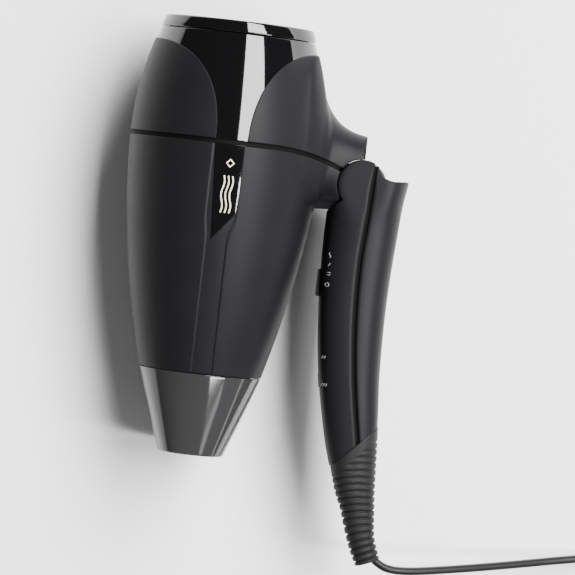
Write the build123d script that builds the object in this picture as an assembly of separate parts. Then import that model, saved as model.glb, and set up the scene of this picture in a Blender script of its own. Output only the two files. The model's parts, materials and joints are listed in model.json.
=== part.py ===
from build123d import *
import math
import os

# Folding travel hair dryer, millimetres.
# Design axes: Y runs along the barrel, from the air outlet to the inlet; X runs from the barrel to the
# folded handle; Z is the fold axis. y = 0 is the seam between the barrel and the nozzle.
# The finished parts are moved so that the origin is under the middle of the dryer, on the surface it lies on.

# ---- driving dimensions ----
# barrel
barrel_length = 138.6       # from the nozzle seam to the rear cap's seam
max_radius = 39.6           # the barrel's largest outer radius
outlet_radius = 25.2        # outer radius at the nozzle seam
inlet_radius = 32.2         # outer radius at the rear cap's seam
swell_place = 0.70          # share of the length at which the barrel is widest
swell_power = 1.85          # how the barrel falls away from its widest place
front_wall = 2.2
rear_wall = 1.6
petal_wall = 1.5
petal_step = 0.5            # the petal covers stand proud of the gloss shell by this
part_gap = 0.15             # between fixed parts that only lie side by side
run_gap = 0.35              # between curved faces that move past each other
split_place = 0.682         # share of the length at which front and rear shells meet
drop_start = 18.0            # the split line falls from here on, out along the neck
drop_depth = 5.9             # how far it has fallen at the neck's middle
drop_power = 2.2
neck_middle_x = 48.6
petal_end = 4.4              # the petals' arches stop this far short of the cap's seam
groove_width = 1.8
groove_depth = 0.7
label_depth = 0.8
label_half_width = 6.4
label_middle_x = 2.0
label_front = 54.0
label_slant = 12.5

# rear cap
cap_length = 5.2
cap_end_radius = 30.7
cap_wall = 2.6
cap_spigot = 4.0
grille_thickness = 1.6
filter_thickness = 0.4
guard_thickness = 1.4
cap_travel = 12.0           # how far the cap is drawn off

# nozzle
nozzle_length = 33.4
nozzle_tip_half_x = 13.6
nozzle_tip_half_z = 22.5
nozzle_tip_wall = 1.6
nozzle_seam_gap = 0.3
rim_outer = 20.9
rim_inner = 19.5
rim_reach = 7.0             # how far the outlet rim stands out of the barrel
rim_ring = 0.45
nozzle_bore = 21.75

# heater
shield_front_radius = 22.3
shield_rear_radius = 30.4
shield_front = 7.0
shield_rear = 79.0
shield_wall = 0.5
mica_thickness = 0.8
coil_count = 6
coil_wire = 1.1             # radius of the wound heating spiral
coil_inset = 3.6

# fan and motor
duct_outer = 31.8
duct_wall = 1.4
duct_front = 80.0
duct_rear = 127.0
motor_radius = 13.5
motor_front = 86.0
motor_rear = 110.0
sleeve_wall = 1.5
shaft_radius = 1.15
fan_front = 112.5
fan_rear = 124.0
fan_hub_radius = 11.5
fan_tip_gap = 0.9
fan_blades = 7
stator_vanes = 6
vane_thickness = 1.4

# hinge
hinge_x = 57.25
hinge_y = 83.6
knuckle_radius = 10.25
fold_angle = 80.0           # how far the handle unfolds
tongue_half = 7.9
tongue_gap = 0.4
tongue_radius = 9.9
pin_radius = 3.0
pin_clearance = 0.05
ball_radius = 1.5
stop_gap = 0.3

# neck
neck_wall = 2.0
neck_root_x = 24.0
neck_end_half_z = 15.0

# handle
handle_wall = 2.2
handle_power = 2.7
seam_strip_width = 1.4
seam_strip_depth = 0.5
switch_travel = 10.2
switch_half_z = 3.6
switch_length = 11.0
voltage_travel = 5.0
voltage_half_z = 2.6
voltage_length = 5.5

# bend relief and flex
rib_pitch = 2.83
rib_width = 1.5
rib_height = 0.8
rib_count = 13
cord_width = 5.3
cord_radius = cord_width / 2
coil_outer = 39.0
coil_inner = 25.2
coil_height = 10.8
tie_thickness = 0.9
wire_radius = 1.2
wire_bend = 2.5
tie_width = 14.0
plug_length = 38.0
plug_half_width = 17.5
plug_half_height = 13.0
plug_pin_radius = 2.4
plug_pin_length = 19.0
plug_pin_spacing = 19.0

# ---- values that follow ----
section_points = 24
swell_y = swell_place * barrel_length
split_y = split_place * barrel_length
floor_z = -max_radius
hinge = Vector(hinge_x, hinge_y, 0)
motor_back_y = barrel_length + cap_length
pieces = {}


# ---- shapes used by many parts ----
def barrel_radius(y):
    """The barrel falls away from its widest place by a power law, to a set radius at each end."""
    if y <= swell_y:
        fall = max_radius - outlet_radius
        return max_radius - fall * ((swell_y - y) / swell_y) ** swell_power
    fall = max_radius - inlet_radius
    return max_radius - fall * ((y - swell_y) / (barrel_length - swell_y)) ** swell_power


def box_between(x0, x1, y0, y1, z0, z1):
    middle = Pos((x0 + x1) / 2, (y0 + y1) / 2, (z0 + z1) / 2)
    return middle * Box(x1 - x0, y1 - y0, z1 - z0)


def disc_y(radius, y0, y1, x=0.0, z=0.0):
    return Pos(x, (y0 + y1) / 2, z) * Rot(-90, 0, 0) * Cylinder(radius, y1 - y0)


def tube_y(outer, inner, y0, y1):
    return disc_y(outer, y0, y1) - disc_y(inner, y0 - 1, y1 + 1)


def disc_z(radius, z0, z1, x=hinge_x, y=hinge_y):
    return Pos(x, y, (z0 + z1) / 2) * Cylinder(radius, z1 - z0)


def prism(points, z0, z1):
    """A flat outline in the XY plane, made solid from z0 to z1."""
    face = make_face(Polyline(*points, close=True))
    return Pos(0, 0, z0) * extrude(face, z1 - z0, dir=(0, 0, 1))


def turned(points):
    """A solid turned about the barrel's axis from (radius, y) points."""
    return revolve(make_face(Polyline(*points, close=True)), Axis.Y, 360)


def barrel_solid(inset, y0, y1, stations=8):
    """The barrel's full outer shape, taken in by inset, between two places."""
    places = [y0 + (y1 - y0) * i / (stations - 1) for i in range(stations)]
    outline = Spline(*[(barrel_radius(y) - inset, y) for y in places])
    close = Polyline(outline @ 1, (0, y1), (0, y0), outline @ 0)
    return revolve(make_face(outline + close), Axis.Y, 360)


def superellipse(plane, half_u, half_v, power):
    """A rounded outline, |u/a|^n + |v/b|^n = 1, on the given plane."""
    points = []
    for i in range(section_points):
        angle = 2 * math.pi * i / section_points
        c = math.cos(angle)
        s = math.sin(angle)
        u = half_u * math.copysign(abs(c) ** (2 / power), c)
        v = half_v * math.copysign(abs(s) ** (2 / power), s)
        points.append(plane.from_local_coords((u, v)))
    return make_face(Spline(*points, periodic=True))


def wedge(start_deg, end_deg, offset, reach=90.0, half_z=40.0):
    """The region about the hinge from one direction round to another, grown by offset past both edges."""
    steps = max(2, math.ceil((end_deg - start_deg) / 45))
    half = math.radians(end_deg - start_deg) / 2
    middle = math.radians(start_deg + end_deg) / 2
    back = offset / math.sin(half)
    tip_x = hinge_x - back * math.cos(middle)
    tip_y = hinge_y - back * math.sin(middle)
    points = [(tip_x, tip_y)]
    for i in range(steps + 1):
        angle = math.radians(start_deg + (end_deg - start_deg) * i / steps)
        points.append((tip_x + reach * math.cos(angle), tip_y + reach * math.sin(angle)))
    return prism(points, -half_z, half_z)


# ---- barrel and neck ----
# The neck's cross-sections: place along X, then its two edges in Y, half depth in Z.
neck_sections = [
    (neck_root_x, 60.0, 124.0, 25.0),
    (38.5, 72.2, 117.0, 18.8),
    (43.0, 74.0, 109.5, 17.0),
    (48.0, 72.8, 105.7, 15.9),
    (hinge_x, 72.6, 103.3, neck_end_half_z),
]
closed_angle = 223.0        # direction, about the hinge, of the faces that meet when folded
open_angle = 90.0           # direction of the neck's end face, which stops the unfolded handle


def neck_solid(inset):
    faces = []
    for x, low, high, half_z in neck_sections:
        plane = Plane(origin=(x, (low + high) / 2, 0), x_dir=(0, 1, 0), z_dir=(1, 0, 0))
        faces.append(superellipse(plane, (high - low) / 2 - inset, half_z - inset, 2.6))
    return loft(faces)


def split_drop(x):
    """How far the split line falls below its level on the barrel, out along the neck."""
    return drop_depth * ((x - drop_start) / (neck_middle_x - drop_start)) ** drop_power


def split_region(offset, front):
    """Everything in front of the split line, or behind it; the line drops away along the neck."""
    far = 150.0
    end_x = hinge_x + 2.0
    places = [drop_start + (end_x - drop_start) * k / 5 for k in range(6)]
    line = Spline(*[(x, split_y - split_drop(x) + offset) for x in places])
    side = -far if front else far
    rest = Polyline(line @ 1, (far, (line @ 1).Y), (far, side), (-far, side),
                    (-far, split_y + offset), line @ 0)
    face = make_face(line + rest)
    return Pos(0, 0, -60) * extrude(face, 120, dir=(0, 0, 1))


def petal_region(left):
    """What a petal cover spans in plan; its edge is a quarter of a superellipse up to the cap."""
    edge_x, end_x, power = (-3.8, -38.0, 2.4) if left else (9.2, 38.0, 2.2)
    rise = barrel_length - petal_end - split_y
    points = []
    for k in range(7):
        turn = math.radians(15 * k)
        across = max(math.cos(turn), 0.0) ** (2 / power)
        points.append((end_x + (edge_x - end_x) * across, split_y + rise * math.sin(turn) ** (2 / power)))
    outward = -1 if left else 1
    arch = Spline(*points, tangents=[(0, 1), (outward, 0)])
    far = outward * 120.0
    low = split_y - 30.0
    top = split_y + rise
    rest = Polyline(arch @ 1, (far, top), (far, low), (edge_x, low), arch @ 0)
    return Pos(0, 0, -60) * extrude(make_face(arch + rest), 120, dir=(0, 0, 1))


def knuckle_pocket():
    """Room in the neck for the handle's knuckle, and for everything past the neck's two end faces."""
    return disc_z(knuckle_radius + run_gap, -40, 40) + wedge(closed_angle - 360, open_angle, 0.0)


def label_outline(grow):
    left = label_middle_x - label_half_width - grow
    right = label_middle_x + label_half_width + grow
    back = split_y - groove_width / 2 - 0.6 + grow
    return [(left, back), (left, label_front - grow), (right, label_front + label_slant - grow), (right, back)]


def make_barrel():
    outer = barrel_solid(0, 0, barrel_length)
    neck_outer = neck_solid(0)
    neck_inner = neck_solid(neck_wall)
    pocket = knuckle_pocket()
    front = split_region(-groove_width / 2 - part_gap, True)
    rear = split_region(groove_width / 2 + part_gap, False)
    left = petal_region(True)
    right = petal_region(False)

    inside = barrel_solid(front_wall, 0, barrel_length) + neck_inner
    body = ((outer + (neck_outer - pocket)) & front) - inside
    ring_seat = disc_y(outlet_radius - front_wall + 0.6, -1, 5.0)
    body = body - ring_seat
    for side in (1, -1):
        slot = prism(label_outline(part_gap), min(0, 60 * side), max(0, 60 * side))
        body = body - (slot - barrel_solid(label_depth, 0, barrel_length))
    pieces["front_shell"] = body
    panel_stock = barrel_solid(0, 0, barrel_length) - barrel_solid(label_depth - part_gap, 0, barrel_length)
    pieces["label_panel_left"] = panel_stock & prism(label_outline(0), 0, 60)
    pieces["label_panel_right"] = panel_stock & prism(label_outline(0), -60, 0)

    rear_depth = petal_wall + part_gap
    petals = left + right
    gloss = barrel_solid(petal_step, split_y, barrel_length) - petals
    gloss = gloss + barrel_solid(rear_depth, split_y, barrel_length)
    gloss = gloss - barrel_solid(rear_depth + rear_wall, split_y - 5, barrel_length) - neck_inner
    pieces["rear_shell"] = largest(gloss & rear)

    skin = outer - barrel_solid(petal_wall, split_y, barrel_length)
    pieces["petal_cover_upper"] = skin & left & rear
    cover = (outer + (neck_outer - pocket)) & rear
    cover = cover - barrel_solid(petal_wall, split_y - 12, barrel_length) - neck_inner
    pieces["petal_cover_neck"] = largest(cover & right)

    band = split_region(groove_width / 2, True) & split_region(-groove_width / 2, False)
    trim = (barrel_solid(groove_depth, split_y - 9, split_y + 9) + neck_solid(groove_depth)) & band
    trim = trim - barrel_solid(groove_depth + 1.2, split_y - 9, split_y + 9) - neck_solid(groove_depth + 1.2)
    pieces["groove_trim"] = largest(trim - pocket)


def largest(shape):
    """The biggest solid of a cut shape: small offcuts aren't part of the moulding."""
    return max(shape.solids(), key=lambda solid: solid.volume)


# ---- rear cap, guard and filter ----
def make_rear_cap():
    seam = barrel_length + nozzle_seam_gap
    end = barrel_length + cap_length
    spigot_outer = inlet_radius - rear_wall - petal_wall - 0.7
    ring = turned([
        (inlet_radius - petal_step, seam), (cap_end_radius, end - 0.6), (cap_end_radius - 0.6, end),
        (cap_end_radius - cap_wall, end), (cap_end_radius - cap_wall, seam - cap_spigot),
        (spigot_outer, seam - cap_spigot), (spigot_outer, seam),
    ])
    ring = ring - tube_y(cap_end_radius - cap_wall + 1.0, cap_end_radius - cap_wall - 1, end - 3.4, end - 1.7)
    pieces["rear_cap_ring"] = ring
    grille_outer = cap_end_radius - cap_wall + 0.9
    grille_y = end - 3.3
    disc = disc_y(grille_outer, grille_y, grille_y + grille_thickness)
    rings = disc - disc_y(grille_outer, grille_y - 1, grille_y + 3)
    for k in range(5):
        outer_r = grille_outer - k * 5.6
        rings = rings + (tube_y(outer_r, outer_r - 2.2, grille_y, grille_y + grille_thickness)
                         if outer_r > 3 else disc_y(outer_r, grille_y, grille_y + grille_thickness))
    spokes = [Rot(0, 60 * k, 0) * box_between(2.0, grille_outer - 1.0, grille_y, grille_y + grille_thickness,
                                              -0.8, 0.8) for k in range(6)]
    hub = disc_y(4.2, grille_y, grille_y + grille_thickness)
    pieces["inlet_grille"] = fuse_all([rings, hub] + spokes)
    filter_outer = cap_end_radius - cap_wall - part_gap
    mesh_y = grille_y - filter_thickness - 0.1
    mesh = tube_y(filter_outer, filter_outer - 1.6, mesh_y, mesh_y + filter_thickness)
    bars = [mesh]
    bar_count = 9
    for k in range(bar_count):
        at = -filter_outer + filter_outer * 2 * (k + 1) / (bar_count + 1)
        half = math.sqrt(filter_outer ** 2 - at ** 2) - 0.5
        bars.append(box_between(at - 0.35, at + 0.35, mesh_y, mesh_y + filter_thickness, -half, half))
        bars.append(box_between(-half, half, mesh_y, mesh_y + filter_thickness, at - 0.35, at + 0.35))
    pieces["lint_filter"] = fuse_all(bars)


def fuse_all(shapes):
    first = shapes[0]
    return first.fuse(*shapes[1:]) if not isinstance(first, list) else first


def make_fan_guard():
    y0 = duct_rear + 0.3
    outer = barrel_radius(y0 + guard_thickness) - petal_wall - rear_wall - 2 * part_gap - 0.3
    parts = [tube_y(outer, outer - 2.5, y0, y0 + guard_thickness), disc_y(5.0, y0, y0 + guard_thickness)]
    parts.append(tube_y(outer * 0.62, outer * 0.62 - 1.2, y0, y0 + guard_thickness))
    for k in range(8):
        parts.append(Rot(0, 45 * k, 0) * box_between(3.0, outer - 1.0, y0, y0 + guard_thickness, -0.6, 0.6))
    pieces["fan_guard"] = fuse_all(parts)


# ---- outlet and nozzle ----
def make_outlet():
    seat = outlet_radius - front_wall + 0.5
    ring = turned([
        (rim_inner, -rim_reach), (rim_outer, -rim_reach), (rim_outer, 0.2), (seat, 0.2), (seat, 4.8),
        (rim_inner, 4.8),
    ])
    groove = tube_y(rim_outer + 1, rim_outer - 0.5, -5.2, -3.0)
    ring = ring - groove
    parts = [ring, disc_y(4.0, 2.0, 3.6), tube_y(9.6, 8.4, 2.0, 3.6), tube_y(14.8, 13.6, 2.0, 3.6)]
    for k in range(8):
        parts.append(Rot(0, 45 * k, 0) * box_between(3.0, rim_inner + 0.4, 2.0, 3.6, -0.6, 0.6))
    pieces["outlet_grille"] = fuse_all(parts)


def nozzle_solid(inset, front_y, rear_y, extra=0.0):
    """The nozzle blends from the barrel's round to a rounded slot."""
    faces = []
    for share in (0.0, 0.33, 0.67, 1.0):
        y = rear_y + (front_y - rear_y) * share
        full = min(max(-y / nozzle_length, 0.0), 1.0)
        half_x = outlet_radius + (nozzle_tip_half_x - outlet_radius) * full ** 1.04
        half_z = outlet_radius + (nozzle_tip_half_z - outlet_radius) * full
        plane = Plane(origin=(0, y, 0), x_dir=(1, 0, 0), z_dir=(0, 1, 0))
        faces.append(superellipse(plane, half_x - inset, half_z - inset, 2.0 + 1.7 * full))
    return loft(faces)


def make_nozzle():
    shell = nozzle_solid(0, -nozzle_length, -nozzle_seam_gap)
    hollow = nozzle_solid(nozzle_tip_wall, -nozzle_length - 0.4, -rim_reach - 0.3)
    shell = shell - hollow - disc_y(nozzle_bore, -rim_reach - 0.8, 1.0)
    pieces["nozzle"] = shell
    collar = tube_y(rim_outer + rim_ring, rim_outer - 0.4, -5.0, -3.2)
    gap = box_between(0, 40, -6, -2, -1.5, 1.5)
    pieces["nozzle_retaining_ring"] = collar - gap


# ---- heater ----
def shield_radius(y):
    return shield_front_radius + (shield_rear_radius - shield_front_radius) * (
        (y - shield_front) / (shield_rear - shield_front))


def mica_outline(sign):
    y0 = shield_front + 1.5
    y1 = shield_rear - 4.0
    edge = shield_wall + part_gap
    return [(0, y0), (sign * (shield_radius(y0) - edge), y0), (sign * (shield_radius(y1) - edge), y1), (0, y1)]


def coil_place(index):
    y = shield_front + 7.0 + index * (shield_rear - shield_front - 22.0) / (coil_count - 1)
    return y, shield_radius(y) - coil_inset


def coil_ring(radius, y, wire_size):
    """One turn of the wound heating spiral, with an eight-sided section."""
    corners = [math.radians(22.5 + 45 * k) for k in range(8)]
    return turned([(radius + wire_size * math.cos(a), y + wire_size * math.sin(a)) for a in corners])


def make_heater():
    shield = turned([
        (shield_front_radius - shield_wall, shield_front), (shield_front_radius, shield_front),
        (shield_rear_radius, shield_rear), (shield_rear_radius - shield_wall, shield_rear),
    ])
    pieces["heat_shield"] = shield
    half = mica_thickness / 2
    board = prism(mica_outline(1), -half, half) + prism(mica_outline(-1), -half, half)
    middle = (shield_front + shield_rear) / 2
    slot = half + 0.05
    board_a = board - box_between(-slot, slot, shield_front, middle, -5, 5)
    board_b = Rot(0, 90, 0) * (board - box_between(-slot, slot, middle - 0.1, shield_rear, -5, 5))
    rings = []
    for index in range(coil_count):
        y, radius = coil_place(index)
        rings.append(coil_ring(radius, y, coil_wire))
        notch = coil_ring(radius, y, coil_wire + part_gap)
        board_a = board_a - notch
        board_b = board_b - notch
    pieces["mica_board_long"] = board_a
    pieces["mica_board_cross"] = board_b
    pieces["heating_coils"] = Compound(children=rings)
    pieces["thermostat"] = box_between(5.0, 15.0, shield_rear - 14.0, shield_rear - 6.5, half, half + 4.0)
    fuse_at = (-11.0, 30.0)
    pieces["thermal_fuse"] = disc_y(1.5, fuse_at[1], fuse_at[1] + 10.0, x=fuse_at[0], z=half + 1.5)


# ---- motor and fan ----
def blade(root, tip, thickness, y0, y1, twist):
    """A flat blade from root to tip radius, set at an angle to the axis."""
    middle = (y0 + y1) / 2
    length = (y1 - y0) / math.cos(math.radians(twist))
    stock = box_between(root, tip + 3, -length / 2, length / 2, -thickness / 2, thickness / 2)
    placed = Pos(0, middle, 0) * Rot(twist, 0, 0) * stock
    return placed


def make_motor():
    duct = tube_y(duct_outer, duct_outer - duct_wall, duct_front, duct_rear)
    sleeve_outer = motor_radius + sleeve_wall + part_gap
    holder = tube_y(sleeve_outer + 1.4, sleeve_outer, motor_front, motor_rear)
    parts = [duct, holder]
    for k in range(stator_vanes):
        vane = blade(sleeve_outer + 0.7, duct_outer, vane_thickness, motor_front + 2, motor_rear - 2, 22)
        parts.append(Rot(0, 360 / stator_vanes * k, 0) * (vane & disc_y(duct_outer - 0.6, 0, 200)))
    notch = box_between(duct_outer - 2.3, duct_outer + 2, duct_front - 1, duct_front + 6.4, -1.7, 5.0)
    pieces["motor_carrier"] = fuse_all(parts) - notch
    can = disc_y(motor_radius, motor_front, motor_rear - 3.0)
    can = can - disc_y(motor_radius - 1.0, motor_front + 1.0, motor_rear)
    can = can - disc_y(3.0, motor_front - 1, motor_front + 2)
    pieces["motor_can"] = can
    cap = disc_y(motor_radius, motor_rear - 3.0, motor_rear) - disc_y(3.0, motor_rear - 4, motor_rear + 1)
    pieces["motor_end_cap"] = cap
    bush = tube_y(3.0, shaft_radius + 0.05, motor_front - 0.8, motor_front + 1.0)
    pieces["motor_bush_front"] = bush
    pieces["motor_bush_rear"] = tube_y(3.0, shaft_radius + 0.05, motor_rear - 3.0, motor_rear + 0.6)
    pieces["motor_sleeve"] = tube_y(motor_radius + sleeve_wall, motor_radius, motor_front + 2, motor_rear - 2)
    shaft = disc_y(shaft_radius, motor_front - 1.5, fan_rear - 1.0)
    rotor = disc_y(motor_radius - 3.0, motor_front + 4.0, motor_rear - 6.0)
    pieces["motor_rotor"] = shaft + rotor
    hub = disc_y(fan_hub_radius, fan_front, fan_rear) - disc_y(fan_hub_radius - 1.5, fan_front - 1, fan_rear - 2.0)
    boss = disc_y(3.2, fan_front + 0.5, fan_rear)
    blades = [hub, boss]
    for k in range(fan_blades):
        vane = blade(fan_hub_radius - 0.7, duct_outer, 1.2, fan_front + 1.0, fan_rear - 1.0, -48)
        room = disc_y(duct_outer - duct_wall - fan_tip_gap, fan_front + 0.2, fan_rear - 0.2)
        blades.append(Rot(0, 360 / fan_blades * k, 0) * (vane & room))
    pieces["fan_impeller"] = fuse_all(blades) - disc_y(shaft_radius, fan_front - 2, fan_rear - 1.0)


def make_motor_electrics():
    board_y = motor_front - 3.6
    board = disc_y(11.5, board_y, board_y + 1.2) - disc_y(2.5, board_y - 1, board_y + 2)
    pieces["rectifier_board"] = board
    diodes = []
    for k in range(4):
        diodes.append(Rot(0, 90 * k + 45, 0) * Pos(7.0, board_y - 1.4, 0) * Cylinder(1.4, 5.0))
    pieces["rectifier_diodes"] = Compound(children=diodes)


# ---- hinge ----
def make_hinge():
    arm_start = duct_outer + 2.0
    arm = prism([(arm_start, hinge_y - 5.0), (arm_start, hinge_y + 8.0), (hinge_x - 3, hinge_y + 8.0),
                 (hinge_x - 3, hinge_y - 5.0)], -tongue_half, tongue_half)
    tongue = disc_z(tongue_radius, -tongue_half, tongue_half) + arm
    chamber = disc_z(tongue_radius - 2.4, -3.4, 3.4)
    channel = box_between(hinge_x - 40, hinge_x, hinge_y - 3.0, hinge_y + 6.0, -3.4, 3.4)
    way_out = box_between(hinge_x - 4.0, hinge_x + 4.0, hinge_y - 30, hinge_y, -3.4, 3.4)
    tongue = tongue - chamber - channel - way_out
    tongue = tongue - disc_z(pin_radius + pin_clearance, -20, 20)
    ball_x = hinge_x - 6.6
    spring_length = 4.0
    hole = disc_z(ball_radius + 0.1, tongue_half - 1.2 - spring_length, tongue_half + 1, x=ball_x)
    pieces["hinge_knuckle"] = tongue - hole
    ball_z = tongue_half + tongue_gap + 0.4 - ball_radius
    pieces["detent_ball"] = Pos(ball_x, hinge_y, ball_z) * Sphere(ball_radius)
    spring_top = ball_z - ball_radius * 0.85
    spring = disc_z(ball_radius - 0.1, tongue_half - 1.2 - spring_length, spring_top, x=ball_x)
    spring = spring - disc_z(ball_radius - 0.5, -20, 20, x=ball_x)
    pieces["detent_spring"] = spring - Pos(ball_x, hinge_y, ball_z) * Sphere(ball_radius + 0.02)
    washers = []
    for side in (1, -1):
        near = side * (tongue_half + 0.05)
        far = side * (tongue_half + tongue_gap - 0.05)
        ring = disc_z(pin_radius + 1.6, min(near, far), max(near, far))
        washers.append(ring - disc_z(pin_radius + pin_clearance, -20, 20))
    pieces["hinge_washers"] = Compound(children=washers)
    cheek_out = neck_end_half_z - 2.0
    stubs = [disc_z(pin_radius, 3.6, cheek_out), disc_z(pin_radius, -cheek_out, -3.6)]
    pieces["hinge_pins"] = Compound(children=stubs)


# ---- handle ----
# The grip's cross-sections: place along Y, its inner and outer edges in X, half width in Z.
grip_sections = [
    (98.0, 44.0, 77.6, 15.2),
    (70.0, 44.0, 74.8, 15.0),
    (45.0, 44.7, 73.2, 14.6),
    (20.0, 46.4, 73.1, 14.0),
    (-5.0, 50.2, 74.3, 12.6),
    (-36.0, 58.6, 76.8, 9.6),
]
boot_sections = [
    (-5.0, 50.2, 74.3, 12.6),
    (-20.0, 54.0, 75.5, 11.2),
    (-36.0, 58.9, 76.2, 9.3),
    (-48.0, 63.6, 77.0, 7.8),
    (-58.0, 67.0, 78.0, 6.8),
]
boot_end = Vector(77.6, -70.0, 0)
boot_end_turn = 23.0        # the boot's last ring leans towards the flex
seam_low = (58.1, -32.3)    # the slanted joint between handle and boot
seam_high = (75.2, -14.6)


def grip_solid(inset):
    faces = []
    for y, low, high, half_z in grip_sections:
        plane = Plane(origin=((low + high) / 2, y, 0), x_dir=(1, 0, 0), z_dir=(0, 1, 0))
        faces.append(superellipse(plane, (high - low) / 2 - inset, half_z - inset, handle_power))
    return loft(faces)


def above_seam(offset):
    """The side of the slanted joint that the handle is on."""
    dx = seam_high[0] - seam_low[0]
    dy = seam_high[1] - seam_low[1]
    length = math.hypot(dx, dy)
    ux = dx / length
    uy = dy / length
    base = (seam_low[0] - uy * offset, seam_low[1] + ux * offset)
    reach = 160.0
    near = (base[0] - reach * ux, base[1] - reach * uy)
    far = (base[0] + reach * ux, base[1] + reach * uy)
    far_back = (far[0] - reach * uy, far[1] + reach * ux)
    near_back = (near[0] - reach * uy, near[1] + reach * ux)
    return prism([near, far, far_back, near_back], -40, 40)


def channel_side(offset, inner):
    """The handle's part line, a gentle curve down its side; inner is the half that faces the barrel."""
    line = Spline((62.0 + offset, 100.0), (61.5 + offset, 86.0), (60.2 + offset, 50.0),
                  (60.9 + offset, 22.0), (64.6 + offset, -5.0), (71.6 + offset, -40.0))
    side = -60.0 if inner else 160.0
    rest = Polyline(line @ 1, (side, -40.0), (side, 100.0), line @ 0)
    return Pos(0, 0, -40) * extrude(make_face(line + rest), 80, dir=(0, 0, 1))


def handle_body(inset):
    """The grip below the hinge with the round knuckle at its head."""
    below = grip_solid(inset) - wedge(open_angle - fold_angle, closed_angle, stop_gap + inset)
    head = disc_z(knuckle_radius - inset, -neck_end_half_z + inset, neck_end_half_z - inset)
    return (below + head) & above_seam(inset)


def make_handle():
    outside = handle_body(0)
    inside = grip_solid(handle_wall) - wedge(open_angle - fold_angle, closed_angle, stop_gap + handle_wall)
    inside = inside - disc_z(knuckle_radius + 2.6, -40, 40)
    clear = disc_z(tongue_radius + 0.7, -tongue_half - tongue_gap, tongue_half + tongue_gap)
    side_open = wedge(open_angle - fold_angle - 4, closed_angle + 4, stop_gap, half_z=tongue_half + tongue_gap)
    wire_way = box_between(hinge_x - 4.0, hinge_x + 3.6, hinge_y - 16, hinge_y - 8, -4.0, 4.0)
    holes = disc_z(pin_radius, -neck_end_half_z + 1.9, neck_end_half_z - 1.9)
    track = Pos(hinge_x, hinge_y, tongue_half + tongue_gap) * Torus(6.6, ball_radius)
    shell = outside - inside - clear - side_open - wire_way - holes - track
    gap = seam_strip_width / 2 + part_gap
    inner_half = shell & channel_side(-gap, True)
    outer_half = shell & channel_side(gap, False)
    strip_stock = handle_strip_stock(inside, clear, side_open, wire_way, holes, track)
    switch_y0 = 36.4
    switch_y1 = switch_y0 + switch_length + switch_travel
    recess = box_between(30, 45.6, switch_y0 - 0.4, switch_y1 + 0.4, -switch_half_z - 0.4, switch_half_z + 0.4)
    window = box_between(40, 52, switch_y0 + 2, switch_y1 - 2, -1.6, 1.6)
    selector = selector_frame() * box_between(-12, 0.9, -0.35, voltage_length + voltage_travel + 0.35,
                                              -voltage_half_z - 0.35, voltage_half_z + 0.35)
    selector_window = selector_frame() * box_between(-2, 6, 1.5, voltage_length + voltage_travel - 1.5, -1.2, 1.2)
    pieces["handle_inner_half"] = largest(inner_half - recess - window - selector - selector_window)
    pieces["handle_outer_half"] = largest(outer_half)
    pieces["handle_seam_strip"] = strip_stock
    knob = box_between(43.3, 45.4, switch_y0, switch_y0 + switch_length, -switch_half_z, switch_half_z)
    knob = fillet(knob.edges().filter_by(Axis.Z).group_by(Axis.X)[0], 0.8)
    stem = box_between(45.3, 48.4, switch_y0 + 2.6, switch_y0 + switch_length - 2.6, -1.2, 1.2)
    pieces["switch_knob"] = knob + stem
    body_y0 = switch_y0 - 2
    body_y1 = switch_y1 + 2
    pieces["switch_body"] = box_between(48.8, 55.0, body_y0, body_y1, -5.0, 5.0)
    frame = selector_frame()
    slider = box_between(-0.3, 0.7, 0, voltage_length, -voltage_half_z, voltage_half_z)
    slider = slider + box_between(0.6, 4.0, 1.9, voltage_length - 1.9, -0.8, 0.8)
    pieces["voltage_knob"] = frame * slider
    pieces["voltage_body"] = frame * box_between(4.3, 8.6, -1.5, voltage_length + voltage_travel + 1.5, -4.2, 4.2)


def selector_frame():
    """Where the voltage selector sits: on the inner face, its travel along the face."""
    foot = Vector(49.35, -0.6, 0)
    return Pos(foot.X, foot.Y, 0) * Rot(0, 0, 8.5)


def handle_strip_stock(inside, clear, side_open, wire_way, holes, track):
    """The band between the two halves, set a little below their surface."""
    band = channel_side(seam_strip_width / 2, True) - channel_side(-seam_strip_width / 2, True)
    stock = handle_body(seam_strip_depth) & band
    stock = stock - inside - clear - side_open - wire_way - holes - track
    strips = [solid for solid in stock.solids() if solid.volume > 20]
    return Compound(children=strips) if len(strips) > 1 else strips[0]


def make_handle_inside():
    pieces["control_board"] = box_between(56.4, 58.0, 20.0, 62.0, -9.5, 9.5)
    pieces["suppression_capacitor"] = box_between(58.3, 64.5, 46.0, 60.0, -6.5, 6.5)
    pieces["choke"] = disc_y(3.4, 24.0, 40.0, x=62.0)
    pieces["terminal_block"] = box_between(58.5, 66.5, 4.0, 16.0, -6.5, 6.5)
    clamp_block = box_between(58.5, 70.0, -10.0, -5.0, -6.0, 6.0)
    slot = Pos(64.6, -7.5, 0) * Rot(-90, 0, 0) * Cylinder(cord_radius, 30)
    pieces["cord_clamp"] = clamp_block - slot
    heads = [disc_y(1.9, -4.9, -3.4, x=64.6, z=side * 4.1) for side in (1, -1)]
    pieces["clamp_screws"] = Compound(children=heads)


# ---- boot ----
def boot_section(y):
    """Edges and half width of the boot at a place along Y, read between its sections."""
    for above, below in zip(boot_sections, boot_sections[1:]):
        if below[0] <= y <= above[0]:
            share = (above[0] - y) / (above[0] - below[0])
            return [a + (b - a) * share for a, b in zip(above[1:], below[1:])]
    return list(boot_sections[-1][1:])


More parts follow.
